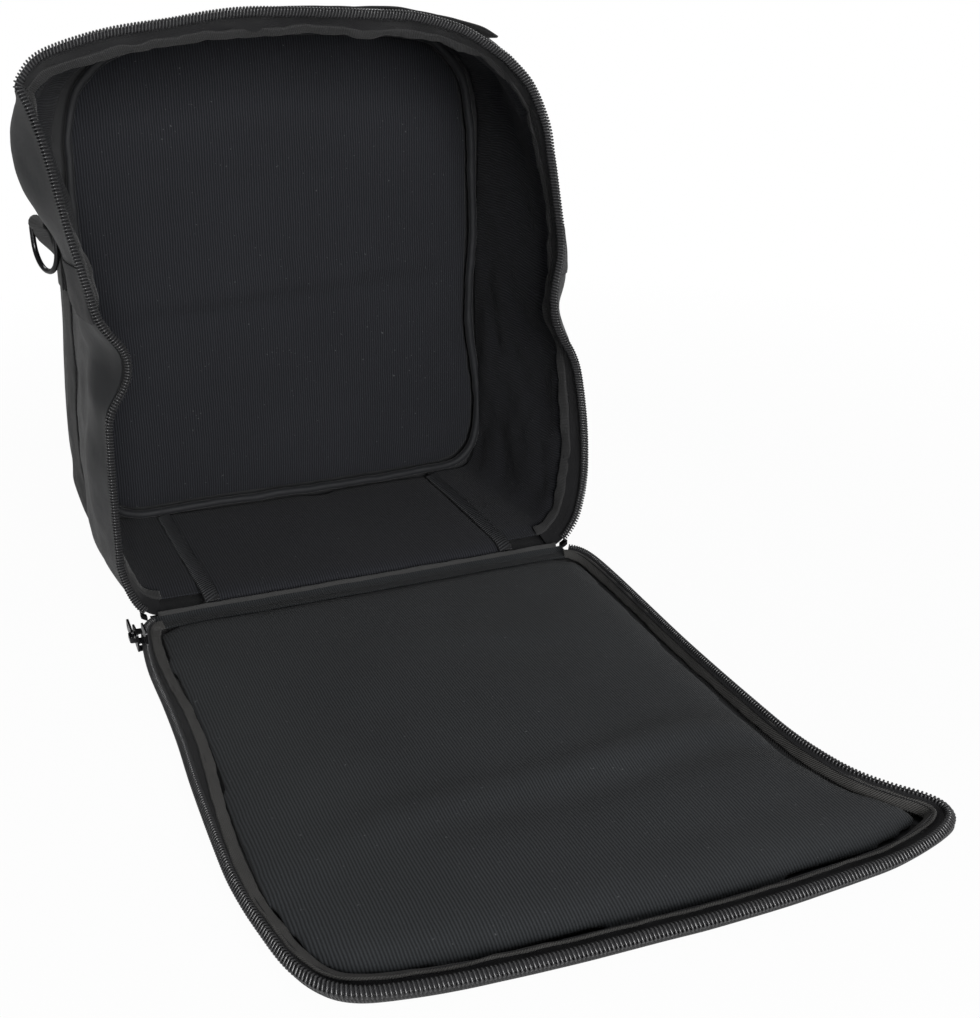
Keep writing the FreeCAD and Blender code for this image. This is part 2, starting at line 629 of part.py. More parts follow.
for side, sign in (("mouth", ""), ("cover", "-")):
    near, far = ("half_chain", "slider_half") if sign == "" else ("-slider_half", "-half_chain")
    lip_sketch = rounded_outline(body_sketch(slider, "lip_outline_" + side, "YZ_Plane", "plate_out - plate / 2"),
                                 "lip_" + side, [
        (near, "slider_end - slider_nose", None),
        (far, "slider_end - slider_nose", None),
        (far, "slider_end - slider_corner", None),
        (near, "slider_end - slider_corner", None),
    ])
    padded(slider, "lip_" + side, lip_sketch, "tape_inset - run_gap - plate_out + plate / 2")
derived("plate_face", "plate_out - plate", "outer face of the slider")
derived("bridge_top", "plate_face - bridge_rise - bridge_wall")
bridge_sketch = rounded_outline(body_sketch(slider, "bridge_outline", "XZ_Plane"), "bridge", [
    ("plate_face + plate / 2", "-bridge_half", None),
    ("plate_face + plate / 2", "-(bridge_half - bridge_wall)", None),
    ("plate_face - bridge_rise", "-(bridge_half - bridge_wall)", "bridge_wall"),
    ("plate_face - bridge_rise", "bridge_half - bridge_wall", "bridge_wall"),
    ("plate_face + plate / 2", "bridge_half - bridge_wall", None),
    ("plate_face + plate / 2", "bridge_half", None),
    ("bridge_top", "bridge_half", "bridge_corner"),
    ("bridge_top", "-bridge_half", "bridge_corner"),
])
padded(slider, "bridge", bridge_sketch, "bridge_width", middle=True)
slider.Placement = Placement(Vector(0, 0, 0), fold)
bind(slider, x="-half_width", y="hinge_y + hinge_z - slider_start", z="hinge_z + chain_mid_y - hinge_y")
node(slider, "zip_slider")

# Pull tab hooked under the bridge by its bar, lying back towards the hinge
derived("pin_x", "plate_face - bridge_rise / 2", "bar of the pull, out from the wall")
derived("pull_half", "pull_width / 2")
derived("window_half", "pull_window / 2")
pull = body("pull")
pull_sketch = rounded_outline(body_sketch(pull, "pull_outline", "YZ_Plane"), "pull", [
    ("-pull_half", "-pull_length", "pull_half * corner_share"),
    ("pull_half", "-pull_length", "pull_half * corner_share"),
    ("pull_half", "pin_radius", "pin_radius"),
    ("-pull_half", "pin_radius", "pin_radius"),
])
padded(pull, "tab", pull_sketch, "pull_thickness", middle=True)
window_sketch = rounded_outline(body_sketch(pull, "window_outline", "YZ_Plane"), "window", [
    ("-window_half", "-bridge_half - bridge_wall", "bridge_wall"),
    ("window_half", "-bridge_half - bridge_wall", "bridge_wall"),
    ("window_half", "-pin_radius", None),
    ("-window_half", "-pin_radius", None),
])
window = pull.newObject("PartDesign::Pocket", "window")
window.Profile = window_sketch
window.Midplane = True
window.Type = "ThroughAll"
grip_sketch = body_sketch(pull, "grip_outline", "YZ_Plane")
derived("grip_z", "-(pull_length - pull_half)")
grip = grip_sketch.addGeometry(Part.Circle(Vector(0, size("grip_z"), 0), Vector(0, 0, 1), size("pull_grip_hole")))
for kind, cell, number in (("DistanceX", "0", 0), ("DistanceY", "grip_z", size("grip_z"))):
    place = grip_sketch.addConstraint(Sketcher.Constraint(kind, -1, 1, grip, 3, number))
    grip_sketch.setExpression("Constraints[%d]" % place, linked(cell))
grip_round = grip_sketch.addConstraint(Sketcher.Constraint("Radius", grip, size("pull_grip_hole")))
grip_sketch.setExpression("Constraints[%d]" % grip_round, linked("pull_grip_hole"))
grip_hole = pull.newObject("PartDesign::Pocket", "grip_hole")
grip_hole.Profile = grip_sketch
grip_hole.Midplane = True
grip_hole.Type = "ThroughAll"
pull.Placement = Placement(Vector(0, 0, 0), fold)
bind(pull, x="-half_width + pin_x", y="hinge_y + hinge_z - slider_start", z="hinge_z + chain_mid_y - hinge_y")
node(pull, "zip_pull")

doc.recompute()


def broken(obj):
    """True where an object did not compute."""
    return "Invalid" in obj.State or "Error" in obj.State


problems = [obj.Label for obj in doc.Objects if broken(obj)]
for piece in NODES:
    if piece.Shape.isNull() or not piece.Shape.isValid() or not piece.Shape.Solids:
        problems.append(piece.Label)
if problems:
    raise RuntimeError("not computed: " + ", ".join(problems))

os.makedirs("parts", exist_ok=True)
for piece in NODES:
    piece.Shape.exportStep(os.path.join("parts", piece.Label + ".step"))
    box = piece.Shape.BoundBox
    print("%-22s solids %d  volume %9.0f  x %7.1f %7.1f  y %7.1f %7.1f  z %7.1f %7.1f" % (
        piece.Label, len(piece.Shape.Solids), piece.Shape.Volume, box.XMin, box.XMax, box.YMin, box.YMax,
        box.ZMin, box.ZMax))
for alias in ("hinge_y", "hinge_z", "slider_start", "split_z", "bar_x", "bar_z", "pin_x", "peak_z", "slope"):
    print(alias, round(size(alias), 4))
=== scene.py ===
import math

import bpy
import bmesh
import numpy as np
from mathutils import Matrix, Vector, noise


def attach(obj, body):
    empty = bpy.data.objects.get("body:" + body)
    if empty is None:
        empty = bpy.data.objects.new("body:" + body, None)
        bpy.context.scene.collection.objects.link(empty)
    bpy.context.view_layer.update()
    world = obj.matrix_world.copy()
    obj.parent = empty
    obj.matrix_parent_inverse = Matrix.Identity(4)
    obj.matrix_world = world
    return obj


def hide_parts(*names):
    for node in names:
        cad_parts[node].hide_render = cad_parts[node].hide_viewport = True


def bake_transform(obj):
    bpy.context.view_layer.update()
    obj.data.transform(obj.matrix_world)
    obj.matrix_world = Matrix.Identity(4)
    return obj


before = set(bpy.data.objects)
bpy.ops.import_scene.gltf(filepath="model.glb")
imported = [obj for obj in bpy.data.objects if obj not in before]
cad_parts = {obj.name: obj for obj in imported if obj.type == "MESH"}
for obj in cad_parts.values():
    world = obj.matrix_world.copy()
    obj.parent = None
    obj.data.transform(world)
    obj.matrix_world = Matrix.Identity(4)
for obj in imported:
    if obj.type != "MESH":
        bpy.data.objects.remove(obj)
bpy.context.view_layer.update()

MM = 0.001


# camera
def make_camera():
    """A camera at the photograph's viewing angle and framing."""
    azimuth, elevation, roll = (math.radians(a) for a in (-17.222, 23.922, -2.144))
    back = Vector((math.sin(azimuth) * math.cos(elevation), -math.cos(azimuth) * math.cos(elevation),
                   math.sin(elevation)))
    right = (-back).cross(Vector((0, 0, 1))).normalized()
    up = right.cross(-back)
    across = right * math.cos(roll) + up * math.sin(roll)
    above = up * math.cos(roll) - right * math.sin(roll)
    data = bpy.data.cameras.new("camera")
    data.sensor_width = 36
    data.lens = 42.15
    data.shift_x, data.shift_y = 0.1592, 0.0305
    camera = bpy.data.objects.new("camera", data)
    bpy.context.scene.collection.objects.link(camera)
    turn = Matrix((across, above, back)).transposed().to_4x4()
    camera.matrix_world = Matrix.Translation(Vector((-0.291678, -0.940936, 0.435705))) @ turn
    bpy.context.scene.camera = camera


make_camera()


# curves and grids
def smooth_line(points, steps=14):
    """A smooth line through the points (Catmull-Rom)."""
    p = np.array(points, float)
    p = np.vstack([2 * p[0] - p[1], p, 2 * p[-1] - p[-2]])
    t = np.linspace(0, 1, steps, endpoint=False)[:, None]
    parts = [0.5 * (2 * b + (c - a) * t + (2 * a - 5 * b + 4 * c - d) * t ** 2
                    + (3 * b - a - 3 * c + d) * t ** 3)
             for a, b, c, d in zip(p[:-3], p[1:-2], p[2:-1], p[3:])]
    return np.vstack([*parts, p[-2][None]])


def run_of(points):
    """Distance along a line at each of its points."""
    return np.concatenate([[0], np.cumsum(np.linalg.norm(np.diff(points, axis=0), axis=1))])


def even(points, count):
    """The line divided into evenly spaced points."""
    run = run_of(points)
    places = np.linspace(0, run[-1], count)
    return np.stack([np.interp(places, run, column) for column in points.T], 1)


def grid_of(a, b):
    """Pairs of coordinates over a grid."""
    return np.stack(np.meshgrid(a, b, indexing="ij"), 2)


def unit(rows):
    return rows / np.maximum(np.linalg.norm(rows, axis=-1, keepdims=True), 1e-12)


def turned_square(side, run):
    """The side directions made square to the run of a line."""
    return unit(side - run * np.sum(side * run, axis=1, keepdims=True))


def around_run(line):
    """The direction of a closed line at each of its points."""
    return unit(np.roll(line, -1, 0) - np.roll(line, 1, 0))


def blurred(rows, times):
    """A closed row of values or points, each mixed with its neighbours."""
    for _ in range(times):
        rows = 0.25 * np.roll(rows, 1, 0) + 0.5 * rows + 0.25 * np.roll(rows, -1, 0)
    return rows


def step(a, b, x):
    """A smooth rise from 0 at a to 1 at b."""
    t = np.clip((np.asarray(x, float) - a) / (b - a), 0, 1)
    return t * t * (3 - 2 * t)


def bump(x, centre, width):
    """A smooth hill of height 1."""
    return np.exp(-((np.asarray(x, float) - centre) / width) ** 2)


def ripple(a, b, scale, seed):
    """Gentle seeded noise from -1 to 1 over two coordinates."""
    a, b = np.broadcast_arrays(np.asarray(a, float), b)
    values = [noise.fractal(Vector((p / scale, q / scale, seed * 7.31)), 1.0, 2.0, 2)
              for p, q in zip(a.ravel(), b.ravel())]
    return np.array(values).reshape(a.shape)


def normals_of(grid):
    """Unit normals of a grid of points whose first and last rows join."""
    along = np.roll(grid, -1, 0) - np.roll(grid, 1, 0)
    return unit(np.cross(along, np.gradient(grid, axis=1)))


def link_object(name, data):
    """A new object in the scene's own collection."""
    obj = bpy.data.objects.new(name, data)
    bpy.context.scene.collection.objects.link(obj)
    return obj


def mesh_piece(name, points, faces, uv, material):
    """A mesh object in metres from points in millimetres, its faces turned outwards."""
    mesh = bpy.data.meshes.new(name)
    mesh.from_pydata((np.asarray(points, float) * MM).tolist(), [], faces)
    if uv is not None:
        layer = mesh.uv_layers.new(name="cloth")
        index = np.empty(len(mesh.loops), int)
        mesh.loops.foreach_get("vertex_index", index)
        layer.data.foreach_set("uv", (np.asarray(uv, float) * MM)[index].ravel())
    mesh.validate()
    mesh.shade_smooth()
    mesh.materials.append(material)
    work = bmesh.new()
    work.from_mesh(mesh)
    bmesh.ops.recalc_face_normals(work, faces=work.faces)
    work.to_mesh(mesh)
    work.free()
    return link_object(name, mesh)


def slab(name, outer, inner, uv, material, edge_angle=50):
    """A sheet with thickness between two grids of points."""
    rows, columns = outer.shape[:2]
    count = rows * columns
    faces = []
    e = columns - 1
    for i in range(0, count - columns, columns):
        j = i + columns
        for k in range(e):
            a, b, c, d = i + k, j + k, j + k + 1, i + k + 1
            faces.append((a, b, c, d))
            faces.append((d + count, c + count, b + count, a + count))
        faces.append((i, i + count, j + count, j))
        faces.append((i + e, j + e, j + e + count, i + e + count))
    e = (rows - 1) * columns
    for k in range(columns - 1):
        faces.append((k, k + 1, k + 1 + count, k + count))
        faces.append((e + k, e + k + count, e + k + 1 + count, e + k + 1))
    points = np.vstack([outer.reshape(-1, 3), inner.reshape(-1, 3)])
    obj = mesh_piece(name, points, faces, np.vstack([uv.reshape(-1, 2)] * 2), material)
    obj.data.set_sharp_from_angle(angle=math.radians(edge_angle))
    return obj


def tube(name, rings, uv, material, closed=False):
    """A closed skin over rings of points; the ends are capped unless the tube closes on itself."""
    rows, sides = rings.shape[:2]
    faces = []
    for i in range(rows if closed else rows - 1):
        j = (i + 1) % rows
        for k in range(sides):
            m = (k + 1) % sides
            faces.append((i * sides + k, j * sides + k, j * sides + m, i * sides + m))
    if not closed:
        faces.append(tuple(range(sides)))
        faces.append(tuple((rows - 1) * sides + k for k in reversed(range(sides))))
    flat = None if uv is None else uv.reshape(-1, 2)
    return mesh_piece(name, rings.reshape(-1, 3), faces, flat, material)


def oval_rings(line, side, face, width, height, sides=10, power=1.0):
    """Rings of an oval or squared section along a line, with its side and face directions."""
    angle = np.arange(sides) / sides * 2 * np.pi
    c, s = np.cos(angle), np.sin(angle)
    c, s = np.sign(c) * np.abs(c) ** power, np.sign(s) * np.abs(s) ** power
    width, height = np.broadcast_to(width, len(line)), np.broadcast_to(height, len(line))
    return (line[:, None] + side[:, None] * (c[None, :, None] * width[:, None, None] / 2)
            + face[:, None] * (s[None, :, None] * height[:, None, None] / 2))


def add_to(obj, body, slot, *nodes):
    """Hangs a finished piece on a body and hides the nodes that it stands for; slot is not used."""
    if body:
        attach(obj, body)
    if nodes:
        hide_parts(*nodes)
    return obj


# materials
class NodeTree:
    """Short ways to add nodes to a tree; a setting that starts with in_ is a value or a link for a socket."""

    def __init__(self, tree):
        self.tree = tree

    def add(self, kind, **settings):
        made = self.tree.nodes.new(kind)
        for key, value in settings.items():
            if not key.startswith("in_"):
                setattr(made, key, value)
                continue
            name = key[3:].replace("_", " ")
            socket = made.inputs[int(name) if name.isdigit() else name]
            if isinstance(value, bpy.types.NodeSocket):
                self.link(value, socket)
            else:
                socket.default_value = value
        return made

    def link(self, source, target):
        self.tree.links.new(source, target)


class Nodes(NodeTree):
    """The shader nodes of one material."""

    def __init__(self, name, colour, roughness, **constants):
        self.material = bpy.data.materials.new(name)
        self.material.use_nodes = True
        super().__init__(self.material.node_tree)
        self.shader = self.tree.nodes["Principled BSDF"]
        self.shader.inputs["Base Color"].default_value = (*colour, 1)
        self.shader.inputs["Roughness"].default_value = roughness
        for socket, value in constants.items():
            self.shader.inputs[socket.replace("_", " ")].default_value = value

    def drive(self, socket, value):
        self.link(value, self.shader.inputs[socket])

    def math(self, operation, *values):
        inputs = {"in_%d" % number: value for number, value in enumerate(values)}
        return self.add("ShaderNodeMath", operation=operation, **inputs).outputs[0]

    def place(self, use_uv):
        if use_uv:
            return self.add("ShaderNodeUVMap", uv_map="cloth").outputs[0]
        return self.add("ShaderNodeTexCoord").outputs["Object"]

    def split(self, vector):
        return self.add("ShaderNodeSeparateXYZ", in_0=vector).outputs

    def noise(self, vector, scale, detail=3.0, rough=0.55):
        return self.add("ShaderNodeTexNoise", in_Vector=vector, in_Scale=scale, in_Detail=detail,
                        in_Roughness=rough).outputs["Fac"]

    def waves(self, along, pitch, power=1.0):
        """A row of rounded ridges, 0 to 1, repeated every pitch metres along a coordinate."""
        turn = self.math("MULTIPLY", along, 2 * math.pi / pitch)
        ridge = self.math("MULTIPLY_ADD", self.math("SINE", turn), 0.5, 0.5)
        return self.math("POWER", ridge, power) if power != 1.0 else ridge

    def mix(self, factor, a, b, blend="MIX"):
        return self.add("ShaderNodeMix", data_type="RGBA", blend_type=blend, in_Factor=factor, in_6=a,
                        in_7=b).outputs[2]

    def shades(self, factor, colour, spread):
        """A colour between a darker and a lighter version of itself, driven by a 0 to 1 value."""
        low, high = ([c * (1 + way * spread) for c in colour] for way in (-1, 1))
        return self.mix(factor, (*low, 1), (*high, 1))

    def ramp(self, value, low, high, start=0.0, end=1.0):
        made = self.add("ShaderNodeMapRange", in_0=value, in_1=start, in_2=end, in_3=low, in_4=high)
        return made.outputs[0]

    def relief(self, height, depth, strength, **over):
        made = self.add("ShaderNodeBump", in_Strength=strength, in_Distance=depth, in_Height=height, **over)
        self.drive("Normal", made.outputs[0])
        return made.outputs[0]


def ribbed_cloth(name, colour, use_uv, pitch=0.0022, sheen=0.06):
    """Brushed lining with fine ribs, a soft bloom, a few specks of lint and painted shade in the grooves
    between the ribs.
    """
    m = Nodes(name, colour, 0.92, Specular_IOR_Level=0.18, Sheen_Weight=sheen, Sheen_Roughness=0.5)
    vector = m.place(use_uv)
    along = m.math("MULTIPLY_ADD", m.noise(vector, 45, 2), 0.0016, m.split(vector)[0])
    ribs, grain = m.waves(along, pitch, 0.8), m.noise(vector, 900, 4, 0.7)
    height = m.math("ADD", m.math("MULTIPLY", ribs, 0.7), m.math("MULTIPLY", grain, 0.5))
    body = m.shades(m.noise(vector, 9, 3), colour, 0.16)
    # painted shade: the colour is multiplied darker where the ribs and grain are low
    cloth = m.mix(1, body, m.ramp(height, 0.38, 1.36, 0.15), "MULTIPLY")
    lint = m.ramp(m.noise(vector, 420, 1, 0.4), 0, 1, 0.755, 0.82)
    m.drive("Base Color", m.mix(lint, cloth, (0.11, 0.115, 0.12, 1)))
    m.relief(height, 0.0006, 0.85)
    return m.material


def woven_cloth(name, colour, roughness, pitch, depth, sheen, spread, specular=0.4):
    """Plain weave: threads crossing over and under, with a slow change of shade."""
    m = Nodes(name, colour, roughness, Specular_IOR_Level=specular, Sheen_Weight=sheen, Sheen_Roughness=0.4)
    vector = m.place(True)
    weft, warp = (m.waves(way, pitch) for way in m.split(vector)[:2])
    m.drive("Base Color", m.shades(m.noise(vector, 14, 4), colour, spread))
    m.drive("Roughness", m.ramp(m.noise(vector, 60, 3), roughness - 0.08, roughness + 0.08))
    crumple = m.relief(m.noise(vector, 85, 4, 0.6), 0.0012, 0.35)
    m.relief(m.math("MAXIMUM", weft, warp), depth, 0.6, in_Normal=crumple)
    return m.material


def ribbon_cloth(name, colour, pitch, slant, depth):
    """Narrow ribbon with ribs across it, or slanting over it as on a twill, with painted shade between the
    ribs.
    """
    m = Nodes(name, colour, 0.75, Specular_IOR_Level=0.3, Sheen_Weight=0.15, Sheen_Roughness=0.4)
    vector = m.place(True)
    along, over = m.split(vector)[:2]
    ribs = m.waves(m.math("ADD", along, m.math("MULTIPLY", over, slant)), pitch, 0.7)
    body = m.shades(m.noise(vector, 35, 3), colour, 0.2)
    # painted shade: the colour darkens between the ribs
    m.drive("Base Color", m.mix(1, body, m.ramp(ribs, 0.6, 1.1), "MULTIPLY"))
    m.relief(m.math("ADD", ribs, m.math("MULTIPLY", m.noise(vector, 1200, 3), 0.35)), depth, 0.8)
    return m.material


def glossy(name, colour, roughness, metallic=0.0, grain=0.00005, coat=0.0):
    """Lacquered metal or moulded nylon with faint handling marks."""
    m = Nodes(name, colour, roughness, Metallic=metallic, Coat_Weight=coat)
    vector = m.place(False)
    wear = m.noise(vector, 240, 4)
    m.drive("Base Color", m.shades(wear, colour, 0.18))
    m.drive("Roughness", m.ramp(wear, roughness - 0.07, roughness + 0.1))
    m.relief(m.noise(vector, 1500, 2), grain, 0.5)
    return m.material


LINING = (0.0305, 0.0318, 0.0373)
# painted light: the cover's lining is a lighter copy of the lining colour, brightened for the upward-facing
# cover
LID_LINING_PAINTED_LIGHTER = (0.0400, 0.0434, 0.0470)
lining_side = ribbed_cloth("gusset_lining_cloth", LINING, True)
lining_back = ribbed_cloth("back_lining_cloth", LINING, False)
lining_lid = ribbed_cloth("cover_lining_cloth", LID_LINING_PAINTED_LIGHTER, False, 0.0019, 0.08)
satin = woven_cloth("satin_nylon", (0.026, 0.027, 0.029), 0.47, 0.0007, 0.0002, 0.12, 0.28, 0.5)
webbing_cloth = woven_cloth("webbing_weave", (0.026, 0.026, 0.027), 0.66, 0.0016, 0.0004, 0.2, 0.2)
coarse_cloth = woven_cloth("side_strap_weave", (0.020, 0.020, 0.021), 0.75, 0.0013, 0.0004, 0.15, 0.22)
band_cloth = woven_cloth("level_band_weave", (0.029, 0.029, 0.031), 0.6, 0.0009, 0.0003, 0.12, 0.2)
grosgrain = ribbon_cloth("grosgrain_binding", (0.052, 0.052, 0.053), 0.0013, 0.0, 0.0004)
twill = ribbon_cloth("twill_binding", (0.084, 0.082, 0.079), 0.0015, 0.8, 0.0005)
rim_tape = ribbon_cloth("cover_rim_tape_weave", (0.040, 0.040, 0.041), 0.0019, 0.9, 0.0006)
light_seam = ribbon_cloth("hinge_seam_twill", (0.070, 0.070, 0.070), 0.0013, 0.8, 0.0003)
tape_cloth = ribbon_cloth("zip_tape_weave", (0.022, 0.022, 0.024), 0.0009, 0.6, 0.00025)
welt_cloth = woven_cloth("bound_seam_cloth", (0.021, 0.022, 0.025), 0.6, 0.0007, 0.0001, 0.15, 0.2)
coil_nylon = glossy("coil_nylon", (0.050, 0.050, 0.052), 0.28, 0.0, 0.00003, 0.6)
thread = glossy("sewing_thread", (0.010, 0.010, 0.011), 0.5)
black_metal = glossy("black_lacquered_metal", (0.030, 0.030, 0.032), 0.2, 0.75, 0.00004, 0.4)
rib_cord = glossy("ribbed_tape_cord", (0.040, 0.041, 0.044), 0.5)


# repeats along a path
class Tree(NodeTree):
    """A geometry nodes tree with named inputs."""

    def __init__(self, name, inputs):
        super().__init__(bpy.data.node_groups.new(name, "GeometryNodeTree"))
        face = self.tree.interface
        face.new_socket(name="Path", in_out="INPUT", socket_type="NodeSocketGeometry")
        for label, value in inputs.items():
            made = face.new_socket(name=label, in_out="INPUT", socket_type="NodeSocketFloat")
            made.default_value = value
        face.new_socket(name="Geometry", in_out="OUTPUT", socket_type="NodeSocketGeometry")
        self.given = self.tree.nodes.new("NodeGroupInput").outputs
        self.result = self.tree.nodes.new("NodeGroupOutput")

    def stops(self):
        """Points every Pitch along the path, with turns that face the way of the path's attributes."""
        curve = self.add("GeometryNodeMeshToCurve", in_0=self.given["Path"])
        spaced = self.add("GeometryNodeResampleCurve", mode="LENGTH", in_Curve=curve.outputs[0],
                          in_Length=self.given["Pitch"])
        turn = None
        for name, axis in (("run", "Z"), ("across", "X")):
            read = self.add("GeometryNodeInputNamedAttribute", data_type="FLOAT_VECTOR", in_Name=name)
            align = self.add("FunctionNodeAlignRotationToVector", axis=axis, in_Vector=read.outputs[0])
            if turn is not None:
                align.pivot_axis = "Z"
                self.link(turn, align.inputs["Rotation"])
            turn = align.outputs[0]
        return spaced.outputs[0], turn

    def finish(self, instance, points, turn, material):
        placed = self.add("GeometryNodeInstanceOnPoints", in_Points=points, in_Instance=instance,
                          in_Rotation=turn)
        real = self.add("GeometryNodeRealizeInstances", in_0=placed.outputs[0])
        paint = self.add("GeometryNodeSetMaterial", in_0=real.outputs[0], in_Material=material)
        self.link(paint.outputs[0], self.result.inputs[0])
        return self.tree


def coil_tree():
    """Zip coil: oblong turns of nylon monofilament side by side along the path."""
    t = Tree("zip_coil_turns", {"Pitch": 0.0023, "Width": 0.0056, "Height": 0.0032, "Wire": 0.00064,
                                "Round": 0.0013})
    points, turn = t.stops()
    oblong = t.add("GeometryNodeCurvePrimitiveQuadrilateral", in_Width=t.given["Width"],
                   in_Height=t.given["Height"])
    rounded = t.add("GeometryNodeFilletCurve", mode="POLY", in_Count=3, in_Curve=oblong.outputs[0],
                    in_Radius=t.given["Round"])
    circle = t.add("GeometryNodeCurvePrimitiveCircle", in_Resolution=6, in_Radius=t.given["Wire"])
    sweep = t.add("GeometryNodeCurveToMesh", in_Curve=rounded.outputs[0], in_Profile_Curve=circle.outputs[0])
    lean = t.add("GeometryNodeTransform", in_Geometry=sweep.outputs[0], in_Rotation=(0.0, 0.16, 0.0))
    return t.finish(lean.outputs[0], points, turn, coil_nylon)


def dash_tree(name, material, pitch, length, width, lift, slant=0.0):
    """Short rounded dashes along the path: stitches, or the slanting cords of a ribbed tape."""
    t = Tree(name, {"Pitch": pitch, "Length": length, "Width": width, "Lift": lift})
    points, turn = t.stops()
    bead = t.add("GeometryNodeMeshUVSphere", in_Segments=6, in_Rings=5, in_Radius=0.5)
    size = t.add("ShaderNodeCombineXYZ", in_X=t.given["Width"], in_Y=t.given["Lift"], in_Z=t.given["Length"])
    stretched = t.add("GeometryNodeTransform", in_Geometry=bead.outputs["Mesh"], in_Scale=size.outputs[0])
    lean = t.add("GeometryNodeTransform", in_Geometry=stretched.outputs[0], in_Rotation=(0.0, slant, 0.0))
    smooth = t.add("GeometryNodeSetShadeSmooth", in_0=lean.outputs[0])
    return t.finish(smooth.outputs[0], points, turn, material)


def along_path(name, tree, line, across, body, slot, *nodes):
    """Runs a tree along a line in millimetres and returns the result as a plain mesh piece.

    across is the direction over the path in which an instance's own X lies.
    """
    run = np.gradient(line, axis=0)
    run /= np.linalg.norm(run, axis=1, keepdims=True)
    across = across - run * np.sum(run * across, axis=1, keepdims=True)
    across /= np.linalg.norm(across, axis=1, keepdims=True)
    mesh = bpy.data.meshes.new(name + "_path")
    mesh.from_pydata((line * MM).tolist(), [(i, i + 1) for i in range(len(line) - 1)], [])
    for label, rows in (("run", run), ("across", across)):
        attribute = mesh.attributes.new(label, "FLOAT_VECTOR", "POINT")
        attribute.data.foreach_set("vector", rows.ravel())
    carrier = link_object(name + "_path", mesh)
    carrier.modifiers.new("repeat", "NODES").node_group = tree
    ready = carrier.evaluated_get(bpy.context.evaluated_depsgraph_get())
    made = bpy.data.meshes.new_from_object(ready)
    made.name = name
    carrier.modifiers.clear()
    bpy.data.objects.remove(carrier)
    return add_to(link_object(name, made), body, slot, *nodes)


coil_turns = coil_tree()
stitches = dash_tree("stitches", thread, 0.0036, 0.0027, 0.0007, 0.0006)
thick_stitches = dash_tree("thick_stitches", thread, 0.0042, 0.0044, 0.0017, 0.0014)
tape_cords = dash_tree("ribbed_tape_cords", rib_cord, 0.0031, 0.0150, 0.0024, 0.0024, 1.05)


# the bag's walls

# Each outline is x and z in millimetres, from the left end of the hinge up the left wall, over the top, down
# the right wall and back along the bottom. The front one leans and pinches as slack cloth does; the back one
# is firm.
FRONT = [
    [(-166, 1), (-177, 3.2), (-185.5, 9.5), (-191.5, 19), (-196.5, 33), (-200, 49)],
    [(-200, 49), (-199.5, 75), (-198.5, 110), (-197.7, 143), (-194.6, 171), (-185, 207.5), (-193.5, 235),
     (-206, 290), (-215.4, 346), (-222, 378), (-230.5, 399)],
    [(-230.5, 399), (-217.5, 414.6), (-196, 423.2), (-162.5, 430.3), (-126.6, 433.8), (-98, 437.5),
     (-68.6, 439), (-14.6, 436.2), (31, 433.5), (51, 431), (81.7, 422.8), (100.5, 413.5), (120.5, 400.8)],
    [(120.5, 400.8), (139.7, 381.5), (154, 353), (159, 330), (163.8, 305), (171, 264), (170, 232),
     (175.3, 199), (185, 175), (192.3, 153), (199.3, 114), (202.5, 75), (201.5, 50)],
    [(201.5, 50), (196.5, 27), (187, 11), (177, 3.2), (166, 1)],
    [(166, 1), (60, 0.8), (-60, 0.8), (-166, 1)],
]
MIDDLE = [
    [(-166, 0.8), (-181, 3.5), (-192, 11), (-200, 25), (-206, 40), (-208.5, 52)],
    [(-208.5, 52), (-211, 84), (-211, 109), (-208, 142), (-203, 174), (-200, 200), (-202, 228), (-206, 258),
     (-211, 286), (-221, 310), (-231, 332), (-234.5, 353), (-231, 376), (-223, 394)],
    [(-223, 394), (-208, 411), (-184, 422), (-152, 428), (-110, 432), (-50, 434.5), (10, 434), (60, 431),
     (92, 425), (121, 410), (144, 392)],
    [(144, 392), (157, 377), (167, 361), (174, 345), (182, 325), (189, 300), (195, 270), (196, 240),
     (194, 207), (198, 180), (200, 150), (201, 110), (200, 70), (198, 48)],
    [(198, 48), (195, 27), (188, 12), (178, 3.5), (166, 0.8)],
    [(166, 0.8), (60, 0.6), (-60, 0.6), (-166, 0.8)],
]
BACK = [
    [(-166, 0.8), (-182, 3.5), (-193, 12), (-200, 26), (-204, 40), (-206, 52)],
    [(-206, 52), (-208.5, 80), (-208.5, 110), (-206, 150), (-203, 185), (-201, 215), (-199.5, 250),
     (-199.5, 290), (-205, 325), (-209, 350), (-207, 372), (-198, 394)],
    [(-198, 394), (-181, 413), (-154, 425), (-120, 430), (-60, 433.5), (0, 434.5), (60, 433.5), (112, 429),
     (142, 422), (168, 408)],
    [(168, 408), (183, 389), (192, 362), (195, 330), (194, 250), (194, 190), (196, 120), (196, 52)],
    [(196, 52), (194.5, 26), (189, 12), (179, 3.5), (166, 0.8)],
    [(166, 0.8), (60, 0.6), (-60, 0.6), (-166, 0.8)],
]
STOPS = [0, 60, 412, 784, 1136, 1196, 1528]     # how far round the outline each stretch ends
AROUND = STOPS[-1]
DEPTH = 198.5
PINCHES = ((215, 1, 9.0), (980, 1, 5.0))        # way round, side of the fanned folds and depth of each kink
RING_WAYS = (272, 922)                          # where the webbing of each ring is sewn on


def outline(stretches):
    """A closed outline with a point every two units of the way round."""
    rows = []
    for points, start, end in zip(stretches, STOPS, STOPS[1:]):
        rows.append(even(smooth_line(points), (end - start) // 2 + 1)[:-1])
    return blurred(np.vstack(rows), 3)


